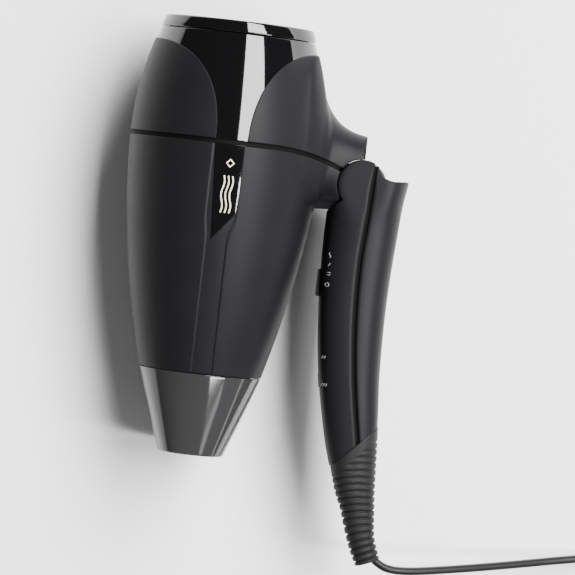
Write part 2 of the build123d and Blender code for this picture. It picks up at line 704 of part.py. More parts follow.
def make_boot():
    faces = []
    for y, low, high, half_z in boot_sections:
        plane = Plane(origin=((low + high) / 2, y, 0), x_dir=(1, 0, 0), z_dir=(0, 1, 0))
        faces.append(superellipse(plane, (high - low) / 2 - rib_height, half_z - rib_height, 2.5))
    lean = math.radians(boot_end_turn)
    end_plane = Plane(origin=boot_end, x_dir=(math.cos(lean), math.sin(lean), 0),
                      z_dir=(-math.sin(lean), math.cos(lean), 0))
    faces.append(superellipse(end_plane, 4.6, 5.0, 2.4))
    core = loft(faces)
    top_y = -5.0
    collar_faces = []
    for y, low, high, half_z in boot_sections[:3]:
        plane = Plane(origin=((low + high) / 2, y, 0), x_dir=(1, 0, 0), z_dir=(0, 1, 0))
        collar_faces.append(superellipse(plane, (high - low) / 2, half_z, 2.6))
    collar = loft(collar_faces)
    body = [core & box_between(0, 200, -90, 40, -40, 40), collar]
    start = boot_sections[2][0] - rib_pitch
    for k in range(rib_count):
        y = start - k * rib_pitch
        low, high, half_z = rib_size(y)
        tilt = boot_end_turn * max(0.0, (k - rib_count + 5) / 5)
        lean = math.radians(tilt)
        plane = Plane(origin=((low + high) / 2, y, 0), x_dir=(math.cos(lean), math.sin(lean), 0),
                      z_dir=(-math.sin(lean), math.cos(lean), 0))
        rib = extrude(superellipse(plane, (high - low) / 2, half_z, 2.4), rib_width / 2, both=True)
        body.append(rib)
    boot = fuse_all(body) - above_seam(-part_gap)
    start_point = cord_route[0]
    first = cord_route[1]
    way = Vector(*first) - Vector(*start_point)
    boot = boot - cylinder_along(Vector(*start_point), way.normalized(), 20.0, cord_radius + 0.05)
    pieces["bend_relief_boot"] = largest(boot)


def rib_size(y):
    """A rib's edges; past the last section they follow a straight line to the boot's end."""
    last_y, low, high, half_z = boot_sections[-1]
    if y >= last_y:
        return boot_section(y)
    share = (last_y - y) / (last_y - boot_end.Y)
    return (low + (boot_end.X - 4.9 - low) * share, high + (boot_end.X + 4.9 - high) * share,
            half_z + (5.4 - half_z) * share)


def cylinder_along(start, way, length, radius):
    plane = Plane(origin=start, z_dir=way)
    return extrude(plane * Circle(radius), length)


# ---- cord ----
coil_middle = Vector(213.0, -20.0, 0)
coil_bottom = floor_z + tie_thickness
lay_z = coil_bottom + cord_radius
coil_line = coil_outer - cord_radius
# The flex from inside the boot to the coil, points chosen by hand.
cord_route = [
    (77.4, -66.6, 0.0),
    (81.4, -70.0, 0.0),
    (86.8, -72.2, -0.5),
    (96.0, -72.0, -3.0),
    (112.0, -69.8, -9.5),
    (134.0, -66.4, -19.5),
    (160.0, -61.8, -31.0),
    (184.0, -57.6, lay_z + 1.0),
    (205.0, coil_middle.Y - coil_line, lay_z),
]
tail_z = coil_bottom + coil_height - cord_radius
tail_route = [
    (221.0, coil_middle.Y - coil_line, tail_z),
    (231.0, coil_middle.Y - coil_line - 0.6, tail_z + 0.9),
    (243.0, coil_middle.Y - coil_line - 3.4, floor_z + plug_half_height),
    (255.0, coil_middle.Y - coil_line - 8.0, floor_z + plug_half_height),
]


def cord_path(route, name):
    """Straight runs joined by arcs, each as large as its two runs allow."""
    points = [Vector(*p) for p in route]
    radii = []
    for before, corner, after in zip(points, points[1:], points[2:]):
        run = min((corner - before).length, (after - corner).length)
        turn = math.radians((corner - before).get_angle(after - corner))
        radii.append(0.45 * run / math.tan(turn / 2))
    print(name, "radii", [round(r, 1) for r in radii])
    return FilletPolyline(*points, radius=radii)


def cord_tube(route, name):
    path = cord_path(route, name)
    start = Plane(origin=path @ 0, z_dir=path % 0)
    tube = sweep(start * Circle(cord_radius), path=path)
    print(name, "length", round(path.length, 1), "volume ratio",
          round(tube.volume / (math.pi * cord_radius ** 2 * path.length), 4))
    return tube


def make_cord():
    ring = disc_z(coil_outer, coil_bottom, coil_bottom + coil_height, x=coil_middle.X, y=coil_middle.Y)
    ring = ring - disc_z(coil_inner, -60, 60, x=coil_middle.X, y=coil_middle.Y)
    pieces["cord_coil"] = ring
    pieces["cord_tube"] = largest(cord_tube(cord_route, "cord_tube") - ring)
    pieces["cord_tail"] = largest(cord_tube(tail_route, "cord_tail") - ring)
    band_r = (coil_outer + coil_inner) / 2
    half_radial = (coil_outer - coil_inner) / 2
    centre = Vector(coil_middle.X, coil_middle.Y + band_r, coil_bottom + coil_height / 2)
    outer_box = box_between(centre.X - tie_width / 2, centre.X + tie_width / 2,
                            centre.Y - half_radial - 2.0, centre.Y + half_radial + tie_thickness,
                            centre.Z - coil_height / 2 - tie_thickness, centre.Z + coil_height / 2 + tie_thickness)
    outer_box = outer_box - box_between(centre.X - tie_width, centre.X + tie_width,
                                        centre.Y - half_radial - 1.1, centre.Y + half_radial + 0.02,
                                        centre.Z - coil_height / 2, centre.Z + coil_height / 2)
    pieces["cord_tie"] = outer_box


def make_plug():
    tail_end = Vector(*tail_route[-1])
    way = (tail_end - Vector(*tail_route[-2])).normalized()
    way = Vector(way.X, way.Y, 0).normalized()
    across = Vector(-way.Y, way.X, 0)
    faces = []
    for along, half_u, half_v in ((0, 4.4, 4.2), (8, 5.6, 5.2), (14, 11.0, 8.6), (24, 16.4, 12.2),
                                  (plug_length, plug_half_width, plug_half_height)):
        plane = Plane(origin=tail_end + way * along, x_dir=across, z_dir=way)
        faces.append(superellipse(plane, half_u, half_v, 2.6))
    body = loft(faces)
    face_middle = tail_end + way * plug_length
    pins = []
    for side in (1, -1):
        foot = face_middle + across * (side * plug_pin_spacing / 2)
        pins.append(cylinder_along(foot, way, plug_pin_length, plug_pin_radius))
    pieces["plug_body"] = body
    pieces["plug_pins"] = Compound(children=pins)
    print("plug face", face_middle, "way", way, "across", across)


# ---- small parts ----
def wire(points, name):
    """A bundle of insulated wires along straight runs joined by small arcs."""
    path = FilletPolyline(*points, radius=wire_bend)
    start = Plane(origin=path @ 0, z_dir=path % 0)
    pieces[name] = sweep(start * Circle(wire_radius), path=path)


def make_wiring():
    wire([(hinge_x - 18, hinge_y + 1, 0), (32.0, hinge_y + 1, 0), (32.0, shield_rear - 12, 9.0)], "barrel_wiring")
    wire([(hinge_x, hinge_y - 10, 0), (hinge_x - 0.6, 68.0, 0), (hinge_x, 62.8, 1.5)], "handle_wiring")


def make_screws():
    screws = []
    for angle in (60, 180, 300):
        post = Rot(0, angle, 0) * disc_y(1.2, duct_front - 6, duct_front, x=duct_outer)
        screws.append(post)
    pieces["carrier_screws"] = Compound(children=screws)
    handle_screws = []
    for x, y, z in ((57.0, 68.5, 9.0), (61.0, -16.0, 0.0)):
        handle_screws.append(Pos(x, y, z) * Rot(0, 90, 0) * Cylinder(1.2, 8.0))
    pieces["handle_screws"] = Compound(children=handle_screws)


def origin_shift():
    """Moves the dryer, without its flex and plug, to stand over the origin on z = 0."""
    own = [shape for name, shape in pieces.items() if name not in cord_pieces]
    boxes = [shape.bounding_box() for shape in own]
    x = (min(b.min.X for b in boxes) + max(b.max.X for b in boxes)) / 2
    y = (min(b.min.Y for b in boxes) + max(b.max.Y for b in boxes)) / 2
    return Pos(-x, -y, -min(b.min.Z for b in boxes)), (-x, -y, -min(b.min.Z for b in boxes))


cord_pieces = ("cord_tube", "cord_coil", "cord_tail", "cord_tie", "plug_body", "plug_pins")

if __name__ == "__main__":
    make_barrel()
    make_rear_cap()
    make_fan_guard()
    make_outlet()
    make_nozzle()
    make_heater()
    make_motor()
    make_motor_electrics()
    make_hinge()
    make_handle()
    make_handle_inside()
    make_boot()
    make_cord()
    make_plug()
    make_wiring()
    make_screws()
    os.makedirs("parts", exist_ok=True)
    shift, amount = origin_shift()
    print("shift", [round(v, 3) for v in amount])
    for name, shape in pieces.items():
        export_step(shift * shape, "parts/" + name + ".step")
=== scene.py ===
import json
import math

import bmesh
import bpy
import numpy as np
from mathutils import Matrix, Vector

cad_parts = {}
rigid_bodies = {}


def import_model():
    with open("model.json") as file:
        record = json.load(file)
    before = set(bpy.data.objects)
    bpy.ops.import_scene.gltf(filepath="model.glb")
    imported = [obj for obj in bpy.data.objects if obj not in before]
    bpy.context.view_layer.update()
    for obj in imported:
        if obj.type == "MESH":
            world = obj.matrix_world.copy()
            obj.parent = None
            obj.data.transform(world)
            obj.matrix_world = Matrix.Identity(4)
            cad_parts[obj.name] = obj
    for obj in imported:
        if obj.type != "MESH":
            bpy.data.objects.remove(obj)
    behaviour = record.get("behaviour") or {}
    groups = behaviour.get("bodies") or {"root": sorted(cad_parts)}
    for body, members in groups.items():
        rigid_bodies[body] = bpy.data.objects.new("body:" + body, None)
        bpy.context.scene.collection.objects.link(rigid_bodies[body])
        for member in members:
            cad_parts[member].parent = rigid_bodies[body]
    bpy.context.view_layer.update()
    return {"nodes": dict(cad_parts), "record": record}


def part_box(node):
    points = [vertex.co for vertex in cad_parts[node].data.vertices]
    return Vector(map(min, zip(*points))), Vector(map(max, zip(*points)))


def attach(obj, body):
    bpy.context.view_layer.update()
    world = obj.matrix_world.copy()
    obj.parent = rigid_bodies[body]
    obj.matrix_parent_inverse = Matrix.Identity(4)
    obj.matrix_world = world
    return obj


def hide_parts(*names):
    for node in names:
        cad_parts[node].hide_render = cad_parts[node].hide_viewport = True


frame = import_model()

for startupObject in [obj for obj in bpy.data.objects if obj.name in ("Cube", "Light", "Camera")]:
    bpy.data.objects.remove(startupObject)

# Sizes are in millimetres, about the barrel's axis at the seam between barrel and nozzle:
# y runs along the barrel to the inlet, x to the folded handle, z up out of the labelled side.
capLow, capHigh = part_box("rear_cap_ring")
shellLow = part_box("front_shell")[0]
axisPlace = np.array([(capLow[0] + capHigh[0]) / 2, shellLow[1], (capLow[2] + capHigh[2]) / 2]) * 1000


def toMetres(points):
    # Design millimetres to the frame's metres.
    return (np.asarray(points, dtype=float) + axisPlace) / 1000


camera = {
    "target": (31.8, 38.3, 0.0),
    "distance": 1900.0,
    "towardsInlet": 45.0,     # the camera stands this much nearer the inlet than its target
    "leanX": -0.11664,        # how far the view's up direction leans along x
    "seenWidth": 235.75,      # width in view at the target
}


def makeCamera():
    # The camera looks down at its target and is turned about its line of sight; its angle is
    # 2 x atan(width / (2 x distance)).
    data = bpy.data.cameras.new("camera")
    obj = bpy.data.objects.new("camera", data)
    bpy.context.collection.objects.link(obj)
    target = Vector(toMetres(camera["target"]))
    place = target + Vector((0, camera["towardsInlet"], camera["distance"])) / 1000
    back = (place - target).normalized()
    up = Vector((camera["leanX"], math.sqrt(1 - camera["leanX"] ** 2), 0))
    right = up.cross(back).normalized()
    up = back.cross(right)
    turn = Matrix((right, up, back)).transposed()
    obj.matrix_world = Matrix.Translation(place) @ turn.to_4x4()
    data.angle = 2 * math.atan(camera["seenWidth"] / 2 / camera["distance"])
    data.clip_start = 0.05
    data.clip_end = 20
    bpy.context.scene.camera = obj


makeCamera()
print("camera done")


def linear(hexColour):
    # sRGB hex to linear: ((c + 0.055) / 1.055) ^ 2.4 above 0.04045, c / 12.92 below.
    parts = [int(hexColour[i:i + 2], 16) / 255 for i in (1, 3, 5)]
    return tuple(((c + 0.055) / 1.055) ** 2.4 if c > 0.04045 else c / 12.92 for c in parts) + (1.0,)


def newMesh(name, points, faces, material, body, smooth=True, slot=None, replaced=()):
    # Points in design millimetres and a face list become one object that rides on a body.
    mesh = bpy.data.meshes.new(name)
    mesh.from_pydata(toMetres(points).tolist(), [], [list(f) for f in faces])
    mesh.validate()
    mesh.polygons.foreach_set("use_smooth", np.full(len(mesh.polygons), smooth))
    mesh.update()
    obj = bpy.data.objects.new(name, mesh)
    bpy.context.collection.objects.link(obj)
    mesh.materials.append(material)
    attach(obj, body)
    if replaced:
        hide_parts(*replaced)
    return obj


def gridFaces(rows, columns, closedColumns, offset=0, flip=False):
    # Quads of a rows x columns grid; the last column joins the first if closed.
    r = np.arange(rows - 1)[:, None]
    c = np.arange(columns if closedColumns else columns - 1)[None, :]
    nextC = (c + 1) % columns
    a = r * columns + c
    b = r * columns + nextC
    d = (r + 1) * columns + c
    e = (r + 1) * columns + nextC
    quads = np.stack([a, b, e, d], axis=-1).reshape(-1, 4) + offset
    return quads[:, ::-1] if flip else quads


def bridge(first, second, closed, flip=False):
    # Quads between two equal runs of vertex numbers.
    n = len(first)
    i = np.arange(n if closed else n - 1)
    j = (i + 1) % n
    quads = np.stack([first[i], first[j], second[j], second[i]], axis=-1)
    return quads[:, ::-1] if flip else quads


def closedShell(outer, inner, closedColumns):
    # Outer and inner grids (rows, columns, 3) are joined all round into one closed skin.
    # Both have equal columns; where the columns don't close into a ring, they have equal rows too.
    rows, columns = outer.shape[:2]
    innerRows = inner.shape[0]
    points = np.concatenate([outer.reshape(-1, 3), inner.reshape(-1, 3)])
    start = rows * columns
    faces = [gridFaces(rows, columns, closedColumns), gridFaces(innerRows, columns, closedColumns, start, True)]
    low = np.arange(columns)
    innerLow = start + np.arange(columns)
    high = (rows - 1) * columns + low
    innerHigh = start + (innerRows - 1) * columns + low
    faces.append(bridge(low, innerLow, closedColumns, True))
    faces.append(bridge(high, innerHigh, closedColumns))
    if not closedColumns:
        left = np.arange(rows) * columns
        innerLeft = start + np.arange(innerRows) * columns
        faces.append(bridge(left, innerLeft, False))
        faces.append(bridge(left + columns - 1, innerLeft + columns - 1, False, True))
    return points, [f for group in faces for f in group.tolist()]


def loopedSkin(grid):
    # A grid whose columns close into a ring and whose last row joins its first: a ring-shaped solid's skin.
    rows, columns = grid.shape[:2]
    faces = gridFaces(rows, columns, True).tolist()
    last = (rows - 1) * columns + np.arange(columns)
    faces += bridge(last, np.arange(columns), True).tolist()
    return grid.reshape(-1, 3), faces


def joined(skins):
    # Several (points, faces) become one, each with its vertex numbers moved past the last.
    points = []
    faces = []
    start = 0
    for skinPoints, skinFaces in skins:
        points.append(skinPoints)
        faces += [[i + start for i in face] for face in skinFaces]
        start += len(skinPoints)
    return np.concatenate(points), faces


def recalculated(obj, merge=0.00001):
    # Doubles are merged and the faces turned outwards.
    bm = bmesh.new()
    bm.from_mesh(obj.data)
    bmesh.ops.remove_doubles(bm, verts=bm.verts, dist=merge)
    bmesh.ops.recalc_face_normals(bm, faces=bm.faces)
    bm.to_mesh(obj.data)
    bm.free()
    obj.data.update()
    return obj


def rounding(distance, radius):
    # How far a surface drops near its edge: a quarter circle, radius - sqrt(radius^2 - (radius - d)^2).
    near = np.clip(radius - distance, 0, radius)
    return radius - np.sqrt(np.maximum(radius ** 2 - near ** 2, 0))


def smoothMax(a, b, blend):
    # The larger of two, with a parabola of width blend where they cross.
    near = np.maximum(blend - np.abs(a - b), 0) / blend
    return np.maximum(a, b) + near * near * blend / 4


def smoothStep(low, high, value):
    # 0 below low and 1 above high, with 3t^2 - 2t^3 between.
    t = np.clip((value - low) / (high - low), 0, 1)
    return t * t * (3 - 2 * t)


def through(table, place):
    # Catmull-Rom curve through rows of (place, value, value...), read at many places.
    table = np.array(sorted(table), dtype=float)
    x = table[:, 0]
    values = table[:, 1:]
    slope = np.gradient(values, x, axis=0)
    place = np.clip(place, x[0], x[-1])
    i = np.clip(np.searchsorted(x, place) - 1, 0, len(x) - 2)
    span = x[i + 1] - x[i]
    t = ((place - x[i]) / span)[..., None]
    span = span[..., None]
    h0 = (1 + 2 * t) * (1 - t) ** 2
    h1 = t * (1 - t) ** 2
    h2 = t * t * (3 - 2 * t)
    h3 = t * t * (t - 1)
    return h0 * values[i] + h1 * span * slope[i] + h2 * values[i + 1] + h3 * span * slope[i + 1]


def addNode(tree, kind, inputs=None, **settings):
    # One node with its settings; an input is a value, or another node's output socket to link.
    node = tree.nodes.new(kind)
    for key, value in settings.items():
        setattr(node, key, value)
    for key, value in (inputs or {}).items():
        socket = node.inputs[key]
        if isinstance(value, bpy.types.NodeSocket):
            tree.links.new(value, socket)
        else:
            socket.default_value = value
    return node


def newMaterial(name, shaderInputs):
    # A principled shader with these fixed values, and the object's own coordinates for its patterns.
    material = bpy.data.materials.new(name)
    material.use_nodes = True
    tree = material.node_tree
    tree.nodes.clear()
    shader = addNode(tree, "ShaderNodeBsdfPrincipled", shaderInputs)
    addNode(tree, "ShaderNodeOutputMaterial", {"Surface": shader.outputs[0]})
    place = addNode(tree, "ShaderNodeTexCoord")
    return material, tree, shader, place.outputs["Object"]


def perMetre(millimetres):
    # A noise or voronoi scale whose features are about this size.
    return 1000.0 / millimetres


def bumpFrom(tree, height, depthMm):
    # A grain that stands this deep in millimetres.
    inputs = {"Height": height, "Distance": depthMm / 1000, "Strength": 1.0}
    return addNode(tree, "ShaderNodeBump", inputs).outputs["Normal"]


def mixedColour(tree, factor, darkHex, lightHex):
    # Dark where the factor is 0, light where it is 1.
    mix = addNode(tree, "ShaderNodeMix", {"Factor": factor}, data_type="RGBA")
    mix.inputs["A"].default_value = linear(darkHex)
    mix.inputs["B"].default_value = linear(lightHex)
    return mix.outputs["Result"]


def speckledColour(tree, place, darkHex, lightHex, sizeMm):
    # Noise of a given feature size between two close colours.
    noise = addNode(tree, "ShaderNodeTexNoise", {"Vector": place, "Scale": perMetre(sizeMm), "Detail": 4.0})
    return mixedColour(tree, noise.outputs["Fac"], darkHex, lightHex), noise.outputs["Fac"]


def roughnessFrom(tree, factor, low, high):
    # Roughness runs from low to high with the factor.
    node = addNode(tree, "ShaderNodeMapRange", {"Value": factor, "To Min": low, "To Max": high})
    return node.outputs["Result"]


def mouldedPlastic(name, darkHex, lightHex, roughLow, roughHigh, grainMm, grainDepth, ior=1.5, specular=0.5):
    # Moulded or sprayed plastic: two close tones, fine grain in the surface, and patchy polish from handling.
    material, tree, shader, place = newMaterial(name, {"IOR": ior, "Specular IOR Level": specular})
    colour, patches = speckledColour(tree, place, darkHex, lightHex, 14.0)
    tree.links.new(colour, shader.inputs["Base Color"])
    tree.links.new(roughnessFrom(tree, patches, roughLow, roughHigh), shader.inputs["Roughness"])
    grain = addNode(tree, "ShaderNodeTexNoise", {"Vector": place, "Scale": perMetre(grainMm), "Detail": 3.0})
    tree.links.new(bumpFrom(tree, grain.outputs["Fac"], grainDepth), shader.inputs["Normal"])
    return material


def metal(name, darkHex, lightHex, roughLow, roughHigh, grainMm, grainDepth, stretch=(1, 1, 1)):
    # Metal with fine scratches or draw lines, longer along one axis.
    material, tree, shader, place = newMaterial(name, {"Metallic": 1.0})
    mapped = addNode(tree, "ShaderNodeMapping", {"Vector": place, "Scale": stretch})
    colour, patches = speckledColour(tree, mapped.outputs[0], darkHex, lightHex, grainMm * 4)
    tree.links.new(colour, shader.inputs["Base Color"])
    tree.links.new(roughnessFrom(tree, patches, roughLow, roughHigh), shader.inputs["Roughness"])
    grain = addNode(tree, "ShaderNodeTexNoise", {"Vector": mapped.outputs[0], "Scale": perMetre(grainMm)})
    tree.links.new(bumpFrom(tree, grain.outputs["Fac"], grainDepth), shader.inputs["Normal"])
    return material


# Soft-touch polyurethane coat over ABS: a dry, velvety charcoal with a faint orange-peel grain.
softTouchCoat = mouldedPlastic("soft_touch_polyurethane", "#121113", "#161517", 0.43, 0.5, 0.35, 0.006,
                               specular=0.09)
# Polished black ABS: a mirror-like skin with a very slight flow ripple.
polishedAbs = mouldedPlastic("polished_black_abs", "#050506", "#070708", 0.03, 0.06, 9.0, 0.004, ior=1.54)
# Polished heat-resistant PPS: a little greyer and softer than the ABS.
polishedPps = mouldedPlastic("polished_heat_resistant_pps", "#262526", "#2b2a2b", 0.06, 0.1, 7.0, 0.006,
                             specular=0.35)
# Satin moulded ABS for small trim, with spark-eroded mould texture.
satinAbs = mouldedPlastic("satin_moulded_abs", "#0c0c0d", "#111112", 0.38, 0.5, 0.3, 0.012, specular=0.2)
# The same ABS left matt in the bottoms of grooves, with nearly no shine; its colour is painted darker than the
# satin trim's as the grooves' shade.
grooveShadeAbs = mouldedPlastic("matt_abs_painted_groove_shade", "#060606", "#0a0a0a", 0.6, 0.75, 0.3, 0.01, specular=0.05)
# Black bend-relief rubber, moulded TPE: waxy and slightly uneven.
mouldedTpe = mouldedPlastic("moulded_tpe_rubber", "#161617", "#1c1c1d", 0.5, 0.6, 0.5, 0.014, specular=0.12)
# PVC flex sheath, extruded: smooth, softly shining, with faint draw lines.
extrudedPvc = mouldedPlastic("extruded_pvc_sheath", "#0f0f10", "#141415", 0.38, 0.48, 0.8, 0.01, specular=0.15)
# Glass-filled nylon: matte, with visible fibre flecks.
glassNylon = mouldedPlastic("glass_filled_nylon", "#1c1c1d", "#262627", 0.55, 0.7, 0.5, 0.02)
# Cream screen-printing ink on the label: warm and flat.
creamInk = mouldedPlastic("printed_cream_ink", "#d8cfb4", "#e4dcc4", 0.45, 0.6, 0.2, 0.003)
# Grey pad-printing ink: flat, and dimmer than the label's.
greyInk = mouldedPlastic("printed_grey_ink", "#77777a", "#8a8a8d", 0.45, 0.6, 0.2, 0.003)
# Nickel plate on brass: warm, bright and nearly smooth.
nickelPlate = metal("nickel_plated_brass", "#b9b5ad", "#cbc7bf", 0.12, 0.24, 0.5, 0.002)
# Zinc-plated steel: faintly yellow-grey with handling marks.
zincSteel = metal("zinc_plated_steel", "#8e8f90", "#a4a5a4", 0.25, 0.42, 0.6, 0.004)
# Sintered bronze for the motor's bushes: brown-gold, dull and porous.
sinteredBronze = metal("sintered_bronze", "#8a6236", "#a17544", 0.4, 0.6, 0.3, 0.02)
# Nichrome heating wire, oxidised by heat: straw-grey and streaked along its length.
nichromeWire = metal("oxidised_nichrome", "#6d6459", "#8f8068", 0.35, 0.55, 1.4, 0.05, (1, 3, 1))
# Mica sheet: layered, pearly and golden brown.
micaSheet = mouldedPlastic("phlogopite_mica_sheet", "#8a7246", "#b39a68", 0.25, 0.5, 3.0, 0.03)
# Epoxy circuit board under green solder mask: deep green with a soft shine.
solderMask = mouldedPlastic("green_solder_mask_board", "#123c22", "#1a4f2d", 0.25, 0.4, 1.2, 0.02)
# Moulded black epoxy: a plain, dull component case.
epoxyBlack = mouldedPlastic("black_epoxy_case", "#161617", "#1f1f20", 0.4, 0.55, 0.4, 0.02)
# Flame-retardant yellow polypropylene box of a film capacitor: smooth with a soft shine.
filmYellow = mouldedPlastic("yellow_film_capacitor_case", "#b98f1e", "#cda336", 0.3, 0.45, 0.8, 0.01)
# Extruded red silicone over the heater's leads: matt and slightly dusty.
redSilicone = mouldedPlastic("red_silicone_sleeve", "#7c1f1a", "#932a22", 0.45, 0.6, 0.4, 0.01)


def wovenMaterial(name, darkHex, lightHex, threadMm, depthMm):
    # Woven polyester: two crossed waves of thread, drawn at the given spacing.
    material, tree, shader, place = newMaterial(name, {"Roughness": 0.8, "Sheen Weight": 0.3})
    waves = []
    for direction in ("X", "Y"):
        wave = addNode(tree, "ShaderNodeTexWave", {"Vector": place, "Scale": perMetre(threadMm) / 20,
                                                   "Distortion": 0.4}, bands_direction=direction)
        waves.append(wave.outputs["Fac"])
    product = addNode(tree, "ShaderNodeMath", {0: waves[0], 1: waves[1]}, operation="MULTIPLY").outputs[0]
    tree.links.new(mixedColour(tree, product, darkHex, lightHex), shader.inputs["Base Color"])
    tree.links.new(bumpFrom(tree, product, depthMm), shader.inputs["Normal"])
    return material


# Hook-and-loop strap: knitted polyester, 0.5 mm pitch drawn at 0.9 mm so that it shows.
loopFabric = wovenMaterial("knitted_loop_polyester", "#0f0f11", "#2a2a2d", 0.9, 0.15)
# Filter cloth: woven steel-black polyester mesh, 0.6 mm pitch.
filterCloth = wovenMaterial("woven_filter_mesh", "#0a0a0a", "#3a3a3c", 0.6, 0.1)
print("materials done")

flex = {
    "width": 5.3,             # flat twin flex, standing on its edge
    "thickness": 3.3,
    "coilCentre": (213.0, -20.0),
    "coilRadius": 36.35,      # middle line of the outermost turn
    "turnStep": 3.45,         # from one turn to the next
    "layers": 4,              # turns side by side in each of two layers
    "pointsPerTurn": 16,
}
floorZ = -axisPlace[2]
coilFloor = floorZ + 0.9
layZ = coilFloor + flex["width"] / 2
tailZ = coilFloor + 10.8 - flex["width"] / 2
plugZ = floorZ + 13.0
coilX, coilY = flex["coilCentre"]
routeToCoil = [
    (77.4, -66.6, 0.0),
    (81.4, -70.0, 0.0),
    (86.8, -72.2, -0.5),
    (96.0, -72.0, -3.0),
    (112.0, -69.8, -9.5),
    (134.0, -66.4, -19.5),
    (160.0, -61.8, -31.0),
    (184.0, -57.6, layZ + 1.0),
    (205.0, coilY - flex["coilRadius"], layZ),
]
routeToPlug = [
    (221.0, coilY - flex["coilRadius"], tailZ),
    (231.0, coilY - flex["coilRadius"] - 0.6, tailZ + 0.9),
    (243.0, coilY - flex["coilRadius"] - 3.4, plugZ),
    (255.0, coilY - flex["coilRadius"] - 8.0, plugZ),
]


def coilPoints():
    # Turns spiral in along the floor, step up, and spiral out on top: r falls or grows by one step a turn.
    n = flex["pointsPerTurn"]
    turns = flex["layers"]
    inward = np.arange(1, n * turns + 1) / n
    radiusIn = flex["coilRadius"] - flex["turnStep"] * np.minimum(inward, turns - 1)
    outward = np.arange(1, n * turns) / n
    radiusOut = flex["coilRadius"] - flex["turnStep"] * np.clip(turns - 1 - outward, 0, turns - 1)
    turnAll = np.concatenate([inward, turns + outward])
    radius = np.concatenate([radiusIn, radiusOut])
    angle = -math.pi / 2 + turnAll * 2 * math.pi
    rise = smoothStep(turns - 0.9, turns - 0.2, turnAll)
    z = layZ + (tailZ - layZ) * rise
    return np.stack([coilX + radius * np.cos(angle), coilY + radius * np.sin(angle), z], axis=1)


def splinePoints(route, name):
    # The smooth line of a route: a NURBS spline of order 3 with the route as its control points.
    curve = bpy.data.curves.new(name, "CURVE")
    curve.dimensions = "3D"
    spline = curve.splines.new("NURBS")
    spline.points.add(len(route) - 1)
    for point, place in zip(spline.points, toMetres(route)):
        point.co = (*place, 1.0)
    spline.order_u = 3
    spline.use_endpoint_u = True
    spline.resolution_u = 8
    holder = bpy.data.objects.new(name, curve)
    mesh = bpy.data.meshes.new_from_object(holder)
    line = np.array([v.co[:] for v in mesh.vertices])
    bpy.data.meshes.remove(mesh)
    bpy.data.objects.remove(holder)
    bpy.data.curves.remove(curve)
    return line * 1000 - axisPlace


def sweptSection(line, section, upright=(0, 0, 1)):
    # A closed section (n, 2) carried along a line; its second axis stays as near upright as it can.
    ahead = np.gradient(line, axis=0)
    ahead /= np.linalg.norm(ahead, axis=1)[:, None]
    side = np.cross(ahead, np.asarray(upright, dtype=float))
    side /= np.linalg.norm(side, axis=1)[:, None]
    up = np.cross(side, ahead)
    return line[:, None, :] + section[None, :, :1] * side[:, None, :] + section[None, :, 1:] * up[:, None, :]


def cappedTube(grid):
    # Faces of a tube grid (rows, columns, 3) with a centre point closing each end.
    rows, columns = grid.shape[:2]
    points = np.concatenate([grid.reshape(-1, 3), grid[0].mean(axis=0)[None], grid[-1].mean(axis=0)[None]])
    faces = gridFaces(rows, columns, True).tolist()
    first = rows * columns
    for c in range(columns):
        n = (c + 1) % columns
        faces.append([n, c, first])
        faces.append([(rows - 1) * columns + c, (rows - 1) * columns + n, first + 1])
    return points, faces


def twinSection(width, thickness, waist=0.16, count=28):
    # A flat twin sheath: two round cores side by side with a shallow waist between them.
    angle = np.linspace(0, 2 * math.pi, count, endpoint=False)
    v = width / 2 * np.sin(angle)
    u = thickness / 2 * np.cos(angle) / np.abs(np.cos(angle)).clip(0.001)
    round4 = np.clip(1 - np.abs(v / (width / 2)) ** 3.0, 0, 1) ** 0.42
    u = u * round4 * (1 - waist * np.exp(-(v / (width * 0.11)) ** 2))
    u = np.where(np.abs(np.cos(angle)) < 0.001, 0, u)
    return np.stack([u, v], axis=1)


def makeFlex():
    # The twin section carried along the spline of the route: out to the coil, round it, and on to the plug.
    coil = coilPoints()
    route = np.concatenate([np.array(routeToCoil), coil, np.array(routeToPlug)])
    line = splinePoints(route, "flex_route")
    section = twinSection(flex["width"], flex["thickness"])
    points, faces = cappedTube(sweptSection(line, section))
    obj = newMesh("mains_flex", points, faces, extrudedPvc, "handle", slot="flex_pvc",
                  replaced=("cord_tube", "cord_coil", "cord_tail"))
    recalculated(obj)
    length = float(np.linalg.norm(np.diff(line, axis=0), axis=1).sum())
    print("flex length", round(length), "mm")
    return obj, line, length


flexPiece, flexLine, flexLength = makeFlex()


def superCorner(angle, power):
    # Both halves of |u|^n + |v|^n = 1 by angle: u = sign(cos) |cos|^(2/n), and v the same with sin.
    c = np.cos(angle)
    s = np.sin(angle)
    return np.sign(c) * np.abs(c) ** (2 / power), np.sign(s) * np.abs(s) ** (2 / power)


def superSection(halfU, halfV, power, count):
    # |u/a|^n + |v/b|^n = 1, at equal angles.
    u, v = superCorner(np.linspace(0, 2 * math.pi, count, endpoint=False), power)
    return np.stack([halfU * u, halfV * v], axis=1)


plug = {
    "length": 38.0,
    # distance from the flex, half width, half height
    "profile": [(0, 3.6, 4.0), (0.4, 4.4, 4.2), (8, 5.4, 5.0), (10, 5.8, 5.4), (14, 10.2, 8.2),
                (19, 14.4, 10.8), (25, 16.4, 12.2), (33, 17.3, 12.9), (37, 17.5, 13.0), (37.8, 17.0, 12.6),
                (38, 16.4, 12.0)],
    "pinSpacing": 19.0,
    # distance from the plug's face, radius
    "pin": [(-3.0, 2.4), (0, 2.4), (8, 2.4), (17.2, 2.4), (18.2, 2.1), (18.8, 1.4), (19.0, 0.5)],
}


def plugFrame():
    # Where the flex enters the plug, and the level directions along and across it.
    end = np.array(routeToPlug[-1])
    way = end - np.array(routeToPlug[-2])
    way[2] = 0
    way /= np.linalg.norm(way)
    return end, way, np.array([-way[1], way[0], 0.0])


